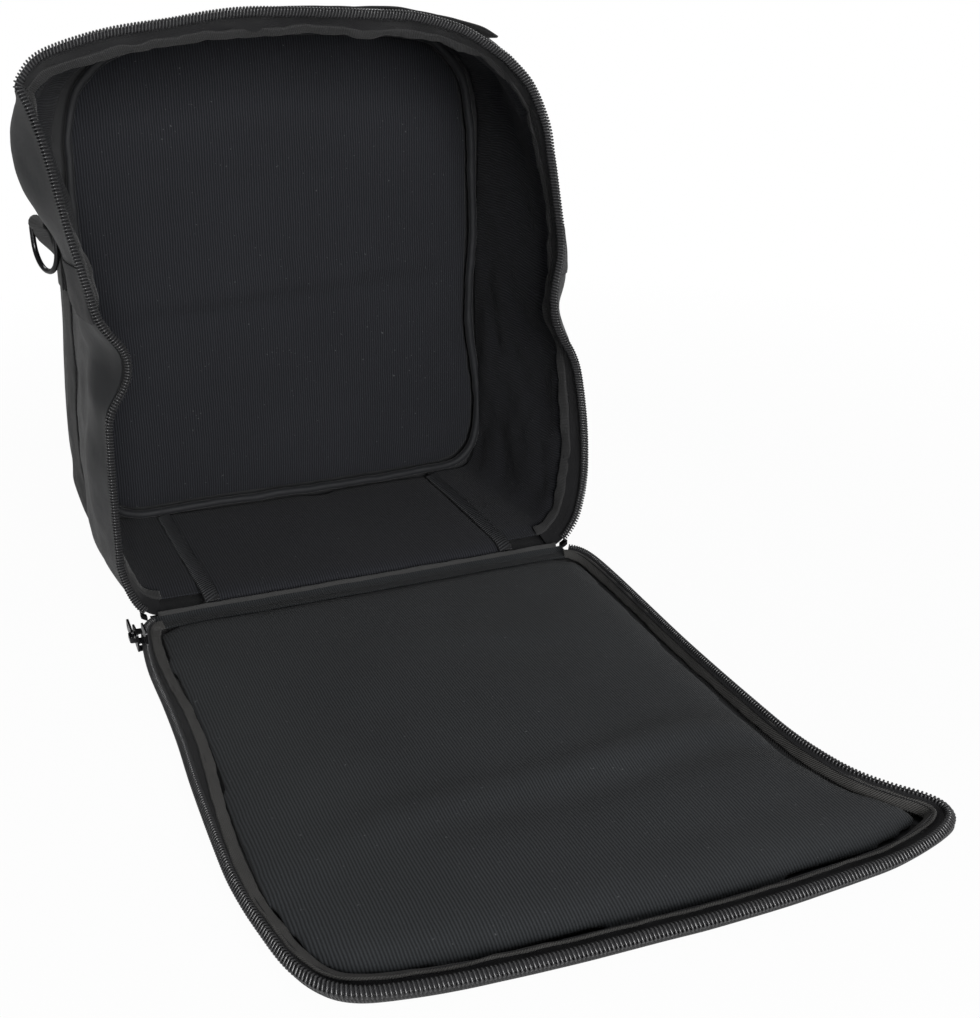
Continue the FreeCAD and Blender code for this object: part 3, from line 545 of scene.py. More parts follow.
def wall_grid():
    """The bag's outer skin: rows round the outline, columns from the mouth to the back."""
    front, middle, back = outline(FRONT), outline(MIDDLE), outline(BACK)
    depths = np.arange(0, DEPTH + 1, 3.0)
    depths[-1] = DEPTH
    v = depths / DEPTH
    at_front = 1 - step(0, 0.24, v)
    at_back = step(0.24, 0.68, v)
    at_middle = 1 - at_front - at_back
    xz = (front[:, None] * at_front[None, :, None] + middle[:, None] * at_middle[None, :, None]
          + back[:, None] * at_back[None, :, None])
    y = np.broadcast_to(-100 + depths[None, :, None], xz.shape[:2] + (1,))
    grid = np.concatenate([xz[..., :1], y, xz[..., 1:]], axis=2)
    uu, dd = np.meshgrid(np.arange(len(front)) * 2.0, depths, indexing="ij")
    on_floor = step(1196, 1216, uu) * (1 - step(1508, 1528, uu))
    free = (1 - on_floor) * step(20, 60, uu) * (1 - step(1140, 1190, uu))
    slack = ripple(uu, dd * 1.3, 62, 3) * 3.0 + ripple(uu, dd, 24, 5) * 0.9
    folds = np.zeros_like(uu)
    # a pinch on each wall where the slack front edge has kinked, with folds that fan from it
    for centre, sign, depth in PINCHES:
        off = uu - centre
        folds -= depth * np.exp(-(off / 26) ** 2) * np.exp(-dd / 42)
        folds += 0.45 * depth * bump(off + sign * 38 - dd * 0.5, 0, 15) * bump(dd, 36, 30)
        folds += 0.35 * depth * bump(off - sign * 40 + dd * 0.35, 0, 13) * bump(dd, 32, 26)
    calm = step(0, 14, dd) * (1 - 0.8 * step(DEPTH - 40, DEPTH, dd))
    for ring in RING_WAYS:
        calm = calm * (1 - 0.85 * np.exp(-((uu - ring) / 48) ** 2 - ((dd - 132) / 42) ** 2))
    return grid + normals_of(grid) * ((slack * calm + folds) * free)[..., None], depths


WALL, WALL_DEPTHS = wall_grid()
WALL_OUT = normals_of(WALL)
LEFT_WALL_ROW = 118
if WALL_OUT[LEFT_WALL_ROW, 10, 0] > 0:
    WALL_OUT = -WALL_OUT


def on_wall(around, depth, out=0.0):
    """Points on the bag's skin, moved outwards: around is the way round, depth the way in from the mouth."""
    around, depth = np.broadcast_arrays(np.asarray(around, float), np.asarray(depth, float))
    a = (around % AROUND) / 2
    d = np.interp(depth, WALL_DEPTHS, np.arange(len(WALL_DEPTHS)))
    a0 = np.floor(a).astype(int) % len(WALL)
    a1 = (a0 + 1) % len(WALL)
    d0 = np.clip(np.floor(d).astype(int), 0, len(WALL_DEPTHS) - 2)
    fa, fd = (a - np.floor(a))[..., None], (d - d0)[..., None]

    def mix(table):
        return ((table[a0, d0] * (1 - fa) + table[a1, d0] * fa) * (1 - fd)
                + (table[a0, d0 + 1] * (1 - fa) + table[a1, d0 + 1] * fa) * fd)

    place, normal = mix(WALL), mix(WALL_OUT)
    normal /= np.linalg.norm(normal, axis=-1, keepdims=True)
    return place + normal * np.asarray(out, float)[..., None]


def wall_piece(name, start, end, near, far, out, thick, material, slot, node, gap=3.0):
    """A layer of the bag's wall between two ways round and two depths, out from the skin, thick inwards."""
    us = np.linspace(start, end, max(2, int((end - start) / gap) + 1))
    ds = np.linspace(near, far, max(2, int((far - near) / gap) + 1))
    uu, dd = np.meshgrid(us, ds, indexing="ij")
    lift = out(uu, dd) if callable(out) else np.full(uu.shape, float(out))
    outer, inner = on_wall(uu, dd, lift), on_wall(uu, dd, lift - thick)
    outer[..., 2] = np.maximum(outer[..., 2], 0.05)
    inner[..., 2] = np.maximum(inner[..., 2], 0.4)
    return add_to(slab(name, outer, inner, np.stack([uu, dd], 2), material), "bag", slot, node)


for name, start, end, thick, node in (
        ("left_side_cloth", -32, 367, 1.2, "left_side_panel"),
        ("top_cloth", 367, 829, 1.2, "top_panel"),
        ("right_side_cloth", 829, 1228, 1.2, "right_side_panel"),
        ("bottom_cloth", 1228, 1496, 1.0, "bottom_panel")):
    wall_piece(name, start, end, 7.5, 197.5, 0, thick, satin, "outer_nylon", node)

# padding between the cloth and the lining, and the ribbed lining itself
for name, start, end, node in (
        ("left_wall_pad", 22, 366, "left_foam"),
        ("right_wall_pad", 830, 1174, "right_foam"),
        ("top_wall_pad", 367, 829, "top_foam")):
    pad = wall_piece(name, start, end, 24, 197, -1.4, 8.0, rib_cord, "padding", node, gap=5)


def lining_lift(uu, dd):
    """The lining lies over the padding and sags a little between its seams."""
    sag = ripple(uu, dd, 70, 11) * 2.2 + ripple(uu, dd, 26, 12) * 0.5
    return -9.8 + sag * step(24, 50, dd) * (1 - step(165, 192, dd)) + 3.5 * bump(dd, 22, 9)


wall_piece("side_and_top_lining", -32, 1228, 21, 190, lining_lift, 1.2, lining_side, "lining",
           "gusset_lining")


# zip and binding round the mouth
def flare(way):
    """How far the tape turns in from the wall at its inner edge; it hangs lower along the top."""
    return 9.0 + 3.0 * step(400, 460, way) * (1 - step(730, 790, way))


def tape_place(way, share, out=0.0):
    """A point on the zip tape, from the coil at 0 to its inner edge at 1."""
    way, share = np.broadcast_arrays(np.asarray(way, float), np.asarray(share, float))
    turned_in = -(0.9 + flare(way) * share ** 1.25)
    return on_wall(way, 2.5 + 21.0 * share, turned_in + out)


def coil_core(name, line, across, body):
    """The filler cord inside the coil's turns, towards the tape."""
    run = unit(np.gradient(line, axis=0))
    across = turned_square(across, run)
    rings = oval_rings(line + across * 0.6, across, unit(np.cross(run, across)), 4.0, 1.9, 8, 0.8)
    add_to(tube(name, rings, grid_of(run_of(line), np.arange(8) * 1.2), tape_cloth), body, "zip_tape")


zip_way = np.arange(19, 1178, 2.0)
coil_line = on_wall(zip_way, 2.2, -1.6)
coil_in = unit(on_wall(zip_way, 30.0) - on_wall(zip_way, 0.0))
coil_out = unit(on_wall(zip_way, 8.0, 10.0) - on_wall(zip_way, 8.0, 0.0))
coil_across = unit(coil_in * 0.3 - coil_out * 0.95)
along_path("mouth_zip_coil", coil_turns, coil_line, coil_across, "bag", "zip_coil", "mouth_coil")
coil_core("mouth_coil_cord", coil_line, coil_across, "bag")

ways, shares = np.meshgrid(np.arange(4, 1193, 2.5), np.linspace(0, 1, 12), indexing="ij")
quiver = ripple(ways, shares * 24, 17, 21) * 0.7 * shares
tape_top, tape_under = tape_place(ways, shares, quiver), tape_place(ways, shares, quiver - 0.8)
add_to(slab("mouth_zip_tape", tape_top, tape_under, np.stack([ways, shares * 24], 2), tape_cloth),
       "bag", "zip_tape", "mouth_tape")
for number, share in enumerate((0.40, 0.66), 1):
    line = tape_place(zip_way, share, -1.0 + 0.5 * share)
    along_path("mouth_stitches_%d" % number, stitches, line, coil_in, "bag", "zip_tape")


def ribbon(name, line, rings, material, body, slot, node):
    """A skin over the rings along a line, laid out flat by its run and its girth."""
    return add_to(tube(name, rings, grid_of(run_of(line), run_of(rings[0])), material), body, slot, node)


def wavy_ribbon(name, line, side, face, width, thick, material, body, node, seed, wave):
    """A ribbon folded over an edge, puckered along its length by its stitching."""
    run = run_of(line)
    rise, sway = ripple(run, 0, 17, seed) * wave, ripple(run, 0, 26, seed + 1) * wave * 0.8
    roll = ripple(run, 0, 21, seed + 2) * 0.28 * wave
    swell = 1 + 0.14 * ripple(run, 0, 12, seed + 3)
    turned = unit(side * np.cos(roll)[:, None] + face * np.sin(roll)[:, None])
    turned_face = unit(face * np.cos(roll)[:, None] - side * np.sin(roll)[:, None])
    centre = line + face * rise[:, None] + side * sway[:, None]
    rings = oval_rings(centre, turned, turned_face, width * swell, thick, 14, 0.55)
    return ribbon(name, line, rings, material, body, "binding", node)


bind_way = np.arange(2, 1195, 2.2)
bind_line = tape_place(bind_way, 0.93, -0.6)
bind_side = unit(tape_place(bind_way, 1.0) - tape_place(bind_way, 0.5))
bind_face = unit(np.cross(np.gradient(bind_line, axis=0), bind_side))
wavy_ribbon("mouth_grosgrain", bind_line, bind_side, bind_face, 9.0, 2.6, grosgrain, "bag", "mouth_binding",
            31, 1.5)


# back
WELT = [(-134, 16), (-97, 17), (-43, 17), (20, 16.5), (77, 17), (131, 18.5), (165, 24), (181, 44),
        (184.5, 81), (180, 121), (174, 163), (174, 187), (176, 223), (177, 254), (175, 292), (173, 336),
        (166, 374), (150, 398), (124, 413), (60, 420.5), (-20, 422), (-100, 419), (-142, 408), (-167, 388),
        (-179, 358), (-182, 320), (-183, 250), (-184, 180), (-185, 100), (-183.5, 50), (-176, 26), (-158, 17)]
welt_xz = even(smooth_line(WELT + WELT[:1]), 620)[:-1]
DIMPLES = ((-121, 175.5), (-107, 174.5))


def back_relief(x, z):
    """How far the back padding stands forward: a slack crown, a level crease and two small dimples."""
    off = z - (198 + (x + 147) * 0.058)
    across = step(-178, -120, x) * (1 - step(120, 170, x))
    crown = 3.4 * step(0, 60, 192 - np.abs(x)) * step(10, 80, z) * step(0, 70, 428 - z)
    crease = (3.4 * bump(off, 9, 11) - 3.2 * bump(off, -7, 9)) * across
    sag = ripple(x, z, 90, 41) * 2.2 + ripple(x, z, 30, 42) * 0.5
    faint = 1.8 * bump(z - 322 - ((x + 10) / 120) ** 2 * 26, 0, 9) * across
    pits = sum(-2.6 * np.exp(-((x - px) ** 2 + (z - pz) ** 2) / 14) for px, pz in DIMPLES)
    return crown + crease + sag + faint + pits


def fan_slab(name, edge, order, near, far, rings, material):
    """A closed slab inside a closed outline: rings of points towards its middle, near side and far side.

    near and far give the third coordinate at each in-plane point and share of the way to the middle; order
    says which axes the outline's two coordinates and the third one are.
    """
    middle = edge.mean(0)
    shares = np.linspace(0, 1, rings + 1)[1:]
    flat = middle + (edge[None] - middle) * shares[:, None, None]
    count = len(edge)
    points = []
    for level in (near, far):
        pole = level(middle[0], middle[1], np.array(0.0))
        values = np.broadcast_to(level(flat[..., 0], flat[..., 1], shares[:, None]), flat.shape[:2])
        points.append([[*middle, float(pole)]])
        points.append(np.concatenate([flat, values[..., None]], 2).reshape(-1, 3))
    faces = []
    each = 1 + rings * count
    rim = 1 + (rings - 1) * count
    for base, flip in ((0, False), (each, True)):
        for i in range(count):
            j = (i + 1) % count
            fan = [(base, base + 1 + i, base + 1 + j)]
            for a in range(base + 1, base + rim, count):
                fan.append((a + i, a + count + i, a + count + j, a + j))
            faces += [face[::-1] for face in fan] if flip else fan
    for i in range(count):
        j = (i + 1) % count
        faces.append((rim + i, rim + each + i, rim + each + j, rim + j))
    stacked = np.vstack(points)
    placed = np.empty_like(stacked)
    placed[:, order] = stacked
    return mesh_piece(name, placed, faces, stacked[:, :2], material)


def grow(edge, amount):
    """A closed outline moved outwards in its own plane."""
    run = around_run(edge)
    out = np.stack([run[:, 1], -run[:, 0]], 1)
    if np.sum(out * (edge - edge.mean(0))) < 0:
        out = -out
    return edge + out * amount


def settled(obj, rest, most):
    """Lets a padded piece swell as cloth over its stuffing, and keeps the result as a plain mesh.

    rest is an axis, a level in millimetres and the side of it where every point stays; no point moves
    further than most.
    """

    def plain():
        ready = obj.evaluated_get(bpy.context.evaluated_depsgraph_get())
        made = bpy.data.meshes.new_from_object(ready)
        obj.modifiers.clear()
        return made

    def places(mesh):
        flat = np.empty(len(mesh.vertices) * 3)
        mesh.vertices.foreach_get("co", flat)
        return flat.reshape(-1, 3)

    remesh = obj.modifiers.new("even", "REMESH")
    remesh.mode = "VOXEL"
    remesh.voxel_size = 0.0046
    rounded = obj.modifiers.new("rounded", "SMOOTH")
    rounded.factor, rounded.iterations = 0.5, 6
    mesh = plain()
    obj.data = mesh
    start = places(mesh)
    cloth = obj.modifiers.new("swell", "CLOTH").settings
    cloth.use_pressure = True
    cloth.uniform_pressure_force = 4.0
    cloth.effector_weights.gravity = 0.0
    for frame_number in range(1, 21):
        bpy.context.scene.frame_set(frame_number)
    move = places(plain()) - start
    bpy.context.scene.frame_set(1)
    far = np.linalg.norm(move, axis=1, keepdims=True)
    placed = start + move * np.minimum(1, most * MM / np.maximum(far, 1e-9))
    axis, level, kept = rest
    placed[:, axis] = kept(placed[:, axis], level * MM)
    mesh.vertices.foreach_set("co", placed.ravel())
    finer = obj.modifiers.new("finer", "SUBSURF")
    finer.levels = finer.render_levels = 1
    obj.data = plain()
    obj.data.polygons.foreach_set("use_smooth", [True] * len(obj.data.polygons))
    return obj


back_pad = fan_slab("back_padding", grow(welt_xz, 2.0), [0, 2, 1],
                    lambda x, z, s: 90.0 - back_relief(x, z) * (1 - s ** 10) + 2.5 * s ** 14,
                    lambda x, z, s: 97.2 + 0 * s, 62, lining_back)
add_to(settled(back_pad, (1, 97.3, np.minimum), 2.0), "bag", "lining", "back_lining", "back_foam")

back_edge = even(on_wall(np.arange(0, AROUND, 2.0), DEPTH - 1.5, -0.3)[:, [0, 2]], 700)
back_edge[:, 1] = np.maximum(back_edge[:, 1], 0.4)
back_cloth = fan_slab("back_cloth", back_edge, [0, 2, 1],
                      lambda x, z, s: 98.0 + 0 * s,
                      lambda x, z, s: 99.4 + (1 - s ** 6) * (2.4 + 0.8 * ripple(x, z, 80, 51)),
                      50, satin)
add_to(back_cloth, "bag", "outer_nylon", "back_panel")

welt_line = np.stack([welt_xz[:, 0], np.full(len(welt_xz), 84.6), welt_xz[:, 1]], 1)
welt_way = run_of(welt_line)
closing = step(0, 60, welt_way) * (1 - step(welt_way[-1] - 60, welt_way[-1], welt_way))
welt_face = np.broadcast_to(np.array([0.0, -1.0, 0.0]), welt_line.shape)
welt_side = unit(np.cross(around_run(welt_line), welt_face))
welt_mid = welt_line + welt_side * (ripple(welt_way, 0, 34, 61) * 1.3 * closing)[:, None]
fat = 1 + 0.12 * ripple(welt_way, 1, 15, 62) * closing
welt_rings = oval_rings(welt_mid, welt_side, welt_face, 7.0 * fat, 8.0 * fat, 14, 0.8)
welt_uv = grid_of(welt_way, np.arange(14) * 1.7)
add_to(tube("back_bound_seam", welt_rings, welt_uv, welt_cloth, True), "bag", "binding", "back_binding")


# bottom of the main compartment
xs, ys = np.meshgrid(np.linspace(-134, 134, 90),
                     np.concatenate([np.linspace(-99.2, -84, 12), np.linspace(-81, 92, 60)]), indexing="ij")
front_round = np.sqrt(np.clip(1 - (1 - np.clip((ys + 99.4) / 15, 0, 1)) ** 2, 0, 1))
hollow = ripple(xs, ys, 70, 71) * 1.3 + ripple(xs, ys, 26, 72) * 0.25
over = np.stack([xs, ys, 3.0 + 7.2 * front_round + hollow * front_round], 2)
under = np.stack([xs, ys, np.full_like(xs, 1.7)], 2)
bottom_pad = slab("bottom_padding", over, under, np.stack([xs, ys], 2), lining_back, 70)
add_to(settled(bottom_pad, (2, 1.6, np.maximum), 1.2), "bag", "lining", "bottom_lining", "bottom_foam")

for side, name in ((-1, "left"), (1, "right")):
    path = [(side * 134, 80, 12.6), (side * 133, 40, 12.4), (side * 132, -20, 12.4), (side * 130, -66, 12.4),
            (side * 129, -88, 11.6), (side * 128.6, -98, 8.6)]
    line = even(smooth_line(path), 110)
    line[:, 0] += ripple(run_of(line), 0, 40, 80 + side) * 0.9
    run = unit(np.gradient(line, axis=0))
    across = unit(np.cross(run, np.array([0.0, 0.0, 1.0])))
    above = unit(np.cross(across, run))
    rings = oval_rings(line, across, above, 12.5, 2.0, 12, 0.5)
    ribbon(name + "_bottom_tape", line, rings, tape_cloth, "bag", "binding", name + "_bottom_binding")
    along_path(name + "_bottom_tape_cords", tape_cords, (line + above)[1:-1], across[1:-1], "bag", "binding")


# cover

# Outline of the cover's coil on the floor plane, x and y in millimetres, from the hinge's left end to its
# right end.
COVER_COIL = [(-172, -119.5), (-183, -122), (-190, -133), (-194, -159), (-196.5, -198), (-195.5, -248),
              (-195.5, -293), (-197, -338), (-197.5, -378), (-197.5, -408), (-197, -434), (-194.5, -459),
              (-191, -480), (-187, -500), (-182, -514), (-174, -526), (-163, -534), (-148, -539),
              (-120, -543.5), (-86, -546.5), (-50, -548.5), (-12, -549.5), (27, -550.5), (68, -550),
              (113, -547.5), (149, -544), (176, -537), (194, -528), (200.5, -518), (198, -506), (186, -490),
              (176, -472), (170.5, -449), (168, -422), (169, -384), (171, -341), (174, -295), (179, -241),
              (183.5, -193), (186, -152), (184, -132), (177, -121), (167, -118.5)]
cover_side = even(smooth_line(COVER_COIL), 700)
hinge_points = [COVER_COIL[-1], (100, -118.2), (0, -118), (-100, -118.2), COVER_COIL[0]]
hinge_side = even(np.array(hinge_points, float), 160)
cover_edge = blurred(np.vstack([cover_side, hinge_side[1:-1]]), 4)
cover_run = around_run(cover_edge)
cover_in = np.stack([-cover_run[:, 1], cover_run[:, 0]], 1)
if np.sum(cover_in * (cover_edge.mean(0) - cover_edge)) < 0:
    cover_in = -cover_in
for _ in range(6):
    cover_in = unit(blurred(cover_in, 1))
ZIPPED = len(cover_side)
cover_way = run_of(np.vstack([cover_edge, cover_edge[:1]]))[:-1]
at_rim = step(0, 26, cover_way) * (1 - step(cover_way[ZIPPED - 1] - 26, cover_way[ZIPPED - 1], cover_way))


def on_cover(inset, z, rows=slice(None)):
    """Points at an inset from the cover's coil line, at a height over the floor."""
    inset = np.asarray(inset, float)
    flat = cover_edge[rows] + cover_in[rows] * (inset[..., None] if inset.ndim else inset)
    return np.column_stack([flat, np.broadcast_to(z, len(flat))])


def cover_shell():
    """The cover's nylon: flat under the padding, rolled up at the rim, closed over a pole at its middle."""
    low = 1 - 0.55 * (1 - at_rim)
    soft = ripple(cover_way, 0, 46, 91) * 0.5
    bulge = 8.0 * bump(cover_way, 820, 26)     # the rim's corner stands out where the cover is folded
    outside = [(16, 0.25), (11, 0.3), (6.5, 1.0), (3.6, 2.6), (1.6, 5.0), (0.9, 7.6), (1.0, 9.6),
               (1.7, 10.6)]
    inside = [(2.9, 10.2), (2.6, 8.6), (2.6, 5.6), (4.0, 3.2), (8, 1.9), (16, 1.5)]
    middle = cover_edge.mean(0)
    base = on_cover(18.0, 0.25)[:, :2]
    shares = np.linspace(0.08, 0.96, 14)

    def level_ring(share, z):
        return np.column_stack([middle + (base - middle) * share, np.full(len(base), z)])

    rings = [level_ring(share, 0.25) for share in shares]
    for number, (inset, z) in enumerate(outside + inside):
        out = bulge * (step(16, 6, inset) if inset > 6 else 1) * (1 - step(3, 10, z))
        stand = out if number < len(outside) else 0
        rings.append(on_cover(inset + soft * step(0, 4, z) - stand, z * np.where(z > 3, low, 1)))
    rings += [level_ring(share, 1.5) for share in np.linspace(0.96, 0.08, 14)]
    grid = np.array(rings)
    rows, count = grid.shape[:2]
    points = np.vstack([[[*middle, 0.25]], grid.reshape(-1, 3), [[*middle, 1.5]]])
    faces = []
    for i in range(count):
        j = (i + 1) % count
        faces.append((0, 1 + j, 1 + i))
        for a in range(1, 1 + (rows - 1) * count, count):
            faces.append((a + i, a + j, a + count + j, a + count + i))
        last = 1 + (rows - 1) * count
        faces.append((len(points) - 1, last + i, last + j))
    uv = np.zeros((len(points), 2))
    uv[1:-1, 0] = np.tile(cover_way, rows)
    uv[1:-1, 1] = np.repeat(run_of(grid[:, 0]), count)
    shell = mesh_piece("cover_cloth", points, faces, uv, satin)
    # the outside of the rim is the zip's wide woven tape
    shell.data.materials.append(rim_tape)
    first_ring, last_ring = 16, 26
    for i in range(count):
        for r in range(first_ring, last_ring):
            shell.data.polygons[i * (rows + 1) + 1 + r].material_index = 1
    add_to(shell, "cover", "outer_nylon", "cover_panel")


cover_shell()

zipped = slice(6, ZIPPED - 6)
coil_inset = 1.3
cover_coil_line = on_cover(coil_inset - 0.2, 12.2, zipped)
tilt = unit(np.column_stack([cover_in[zipped] * 0.66, np.full(len(cover_coil_line), 0.75)]))
along_path("cover_zip_coil", coil_turns, cover_coil_line, tilt, "cover", "zip_coil", "cover_coil")
coil_core("cover_coil_cord", cover_coil_line, tilt, "cover")

# how far in the binding lies from the coil: close on the right, loose along the left and the far edge
LOOSE = [(0, 7.0), (40, 7.5), (90, 10), (150, 12), (210, 12.5), (250, 10), (290, 8), (340, 7.5), (380, 8.5),
         (440, 12), (560, 13), (700, 13), (790, 12), (830, 8.5), (880, 6.5), (1000, 6.0), (1150, 7.0),
         (1230, 7.5)]
loose = np.interp(cover_way, *zip(*LOOSE))
at_hinge = np.arange(len(cover_edge)) >= ZIPPED
loose[at_hinge] = 7.2
loose = blurred(loose, 14)

upper, lower = [], []
for share in np.linspace(0, 1, 7):
    inset = coil_inset + 1.6 + (loose - coil_inset - 2.0) * share
    height = 13.2 - 2.6 * np.sin(share * math.pi) * np.clip((loose - 6) / 5, 0, 1) - 1.6 * share
    upper.append(on_cover(inset, height)[zipped])
    lower.append(on_cover(inset, height - 0.8)[zipped])
tape_uv = grid_of(cover_way[zipped], np.linspace(0, 10, 7))
add_to(slab("cover_zip_tape", np.stack(upper, 1), np.stack(lower, 1), tape_uv, tape_cloth),
       "cover", "zip_tape", "cover_tape")

# the binding runs round the three zipped sides; along the hinge the lining goes on under the bag's seam
bound = slice(2, ZIPPED - 2)
upright = np.interp(cover_way[bound], [0, 60, 420, 480, 560, 800, 860, 1150, 1230],
                    [0.2, 0.3, 0.3, 0.5, 0.6, 0.7, 1, 1, 0.4])
ribbon_line = on_cover((loose + 2.0)[bound] - 2.6 * upright, 10.6 - 2.4 * upright, bound)
lean = np.radians(12 + 50 * upright)
ribbon_side = unit(np.column_stack([cover_in[bound] * np.cos(lean)[:, None], -np.sin(lean)]))
ribbon_face = unit(np.cross(unit(np.gradient(ribbon_line, axis=0)), ribbon_side))
if ribbon_face[:, 2].mean() < 0:
    ribbon_face = -ribbon_face
wavy_ribbon("cover_twill_binding", ribbon_line, ribbon_side, ribbon_face, 8.4, 1.9, twill, "cover",
            "cover_binding", 101, 0.55)

# the fold over the cover, x and y in millimetres from left to right
FOLD = np.array([(-175, -446), (-139, -432), (-94, -422), (-43, -419), (10, -417), (53, -412), (107, -404),
                 (141, -409), (166, -425), (174, -428)], float)


def cover_relief(x, y):
    """Height of the cover's padding: a low crown, a fold from the pinched right rim and soft swells."""
    off = y - np.interp(x, FOLD[:, 0], FOLD[:, 1])
    on_right = step(-190, 60, x)
    fold = on_right * (3.2 * bump(off, 6, 13) - 2.4 * bump(off, -16, 13)) + (1 - on_right) * bump(off, 2, 16)
    second = 1.3 * bump(y + 222 + (x + 20) * 0.24, 0, 20) * step(-120, 40, x)
    third = 1.4 * bump(y + 488 - x * 0.03, 0, 15) * step(-80, 60, x)
    return fold + second - third + (ripple(x, y, 95, 111) * 1.5 + ripple(x, y, 34, 112) * 0.35)


pad_inset = blurred(loose + 2.6 - 6.0 * at_hinge, 10)
lid_line = on_cover(pad_inset, 0.0)[:, :2]
lid_edge = even(np.vstack([lid_line, lid_line[:1]]), 640)[:-1]


def lid_top(x, y, s):
    """The pad's upper level, rounded off at its edge and lower near the hinge."""
    return (9.2 + 3.4 * (1 - s ** 8) + cover_relief(x, y) * (1 - s ** 10) - 2.2 * s ** 26
            - 2.2 * step(-150, -122, y))


lid_pad = fan_slab("cover_padding", lid_edge, [0, 1, 2], lid_top, lambda x, y, s: 2.0 + 0 * s, 62, lining_lid)
add_to(settled(lid_pad, (2, 1.9, np.maximum), 2.0), "cover", "lining", "cover_lining", "cover_foam")


# cloth hinge
def hinge_strip():
    """The cloth that joins the bag's lower front edge to the cover, with a soft dip between them."""
    xs = np.linspace(-179, 179, 130)
    profile = [(-92.0, 0.9), (-98.0, 1.2), (-101.0, 2.6), (-102.6, 5.0), (-104.2, 5.6), (-107, 4.6),
               (-111, 4.2), (-114.5, 4.6), (-119.0, 5.8), (-124.0, 7.0), (-129.0, 8.0)]
    line = even(smooth_line(profile, 8), 48)
    wobble = np.array([0.5 * noise.noise(Vector((x / 21, 3.3, 0))) for x in xs])
    outer = np.empty((len(xs), len(line), 3))
    outer[..., 0] = xs[:, None]
    outer[..., 1] = line[:, 0]
    outer[..., 2] = line[:, 1] + wobble[:, None] * step(2, 5, line[:, 1])
    inner = outer - np.array([0, 0, 1.0])
    inner[..., 2] = np.maximum(inner[..., 2], 0.15)
    obj = slab("hinge_cloth_strip", outer, inner, grid_of(xs, run_of(line)), lining_lid)
    return add_to(obj, None, "binding", "hinge_cloth")


strip = hinge_strip()
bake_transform(strip)

xs = np.linspace(-174, 174, 170)
seam_line = np.column_stack([xs, np.full(170, -102.4), np.full(170, 6.4)])
seam_face = np.broadcast_to(unit(np.array([0.0, -0.9, 0.45])), seam_line.shape)
seam_side = np.broadcast_to(unit(np.array([0.0, 0.45, 0.9])), seam_line.shape)
wavy_ribbon("hinge_seam_binding", seam_line, seam_side, seam_face, 4.4, 2.6, light_seam, "bag",
            "hinge_binding", 121, 0.45)


# webbing, loops and rings
RING_BAR = (213.0, 38.0, 290.0)     # the middle of a ring's bar, x taken outwards, in millimetres
RING_TURN = 18                      # degrees that loop and ring are turned towards the mouth


def belt(name, line, side, width, thick, node):
    """A flat strap of webbing along a line; side is the direction over its width."""
    run = unit(np.gradient(line, axis=0))
    side = turned_square(side, run)
    rings = oval_rings(line, side, unit(np.cross(run, side)), width, thick, 16, 0.28)
    ribbon(name, line, rings, webbing_cloth, "bag", "webbing", node)


def wall_strap(name, start, end, near, far, out, material, node, gap=2.5):
    """A flat strap sewn on the outside of the wall, with soft edges."""
    us = np.linspace(start, end, int((end - start) / gap) + 2)
    ds = np.linspace(near, far, int((far - near) / gap) + 2)
    uu, dd = np.meshgrid(us, ds, indexing="ij")
    rim = np.minimum.reduce([uu - start, end - uu, dd - near, far - dd])
    lift = out - 0.7 * (1 - step(0, 3.5, rim))
    obj = slab(name, on_wall(uu, dd, lift), on_wall(uu, dd, 0.05), np.stack([dd, uu], 2), material)
    add_to(obj, "bag", "webbing", node)


def sewn_edge(name, begin, end):
    """A line of thick dark stitches beside the edge of a strap, between two places on the wall."""
    way, depth = np.linspace(begin, end, 120).T
    line, out = on_wall(way, depth, 0.6), on_wall(way, depth, 5.0) - on_wall(way, depth, 0.0)
    along_path(name, thick_stitches, line, np.cross(np.gradient(line, axis=0), out), "bag", "webbing")


def way_at(height, left):
    """How far round the outline the middle of a side wall is at this height."""
    ways = np.arange(62, 410, 1.0) if left else np.arange(786, 1134, 1.0)
    heights = on_wall(ways, 100.0)[:, 2]
    return float(np.interp(height, heights, ways) if left else np.interp(-height, -heights, ways))


def side_webbing(side, left):
    """Level band and upright strap on a side wall, each sewn along both edges."""
    low, top = way_at(238, left), way_at(276, left)
    first, last = sorted((low, top))
    wall_strap(side + "_level_band", first, last, 8, 174, 1.8, band_cloth, side + "_band")
    sewn_edge(side + "_level_band_stitches_1", (first, 12), (first, 172))
    sewn_edge(side + "_level_band_stitches_2", (last, 12), (last, 172))
    first, last = sorted((20 if left else 1176, low))
    wall_strap(side + "_side_strap", first, last, 113, 163, 1.9, coarse_cloth, side + "_strap")
    sewn_edge(side + "_side_strap_stitches_1", (first + 4, 112), (last - 2, 112))
    sewn_edge(side + "_side_strap_stitches_2", (first + 4, 164), (last - 2, 164))


def ring_loop(side, left, sign):
    """The loop: up from its sewn tail, out to the ring's bar, over it and back down."""
    bar_x, bar_y, bar_z = RING_BAR
    wall_x, wall_low = (abs(float(on_wall(way_at(z, left), 100.0 + bar_y, 1.8)[0])) for z in (262, 240))
    over_bar = [(bar_x + 4.0 * math.cos(a), bar_z + 4.0 * math.sin(a))
                for a in np.radians(np.arange(200, -61, -26))]
    profile = [(wall_low + 1.0, 240), (wall_x + 1.0, 256), (wall_x + 1.2, 266), (bar_x - 6.5, 279),
               *over_bar,
               (bar_x - 1.5, 277), (wall_x + 3.2, 264), (wall_x + 3.0, 254), (wall_low + 2.8, 241)]
    x, z = even(smooth_line(profile, 10), 90).T
    turn = math.radians(RING_TURN) * step(258, 284, z)
    line = np.column_stack([sign * x, np.full(90, bar_y), z])
    across = np.column_stack([sign * np.sin(turn), np.cos(turn), np.zeros(90)])
    belt(side + "_webbing_loop", line, across, 33.0, 1.7, side + "_ring_loop")


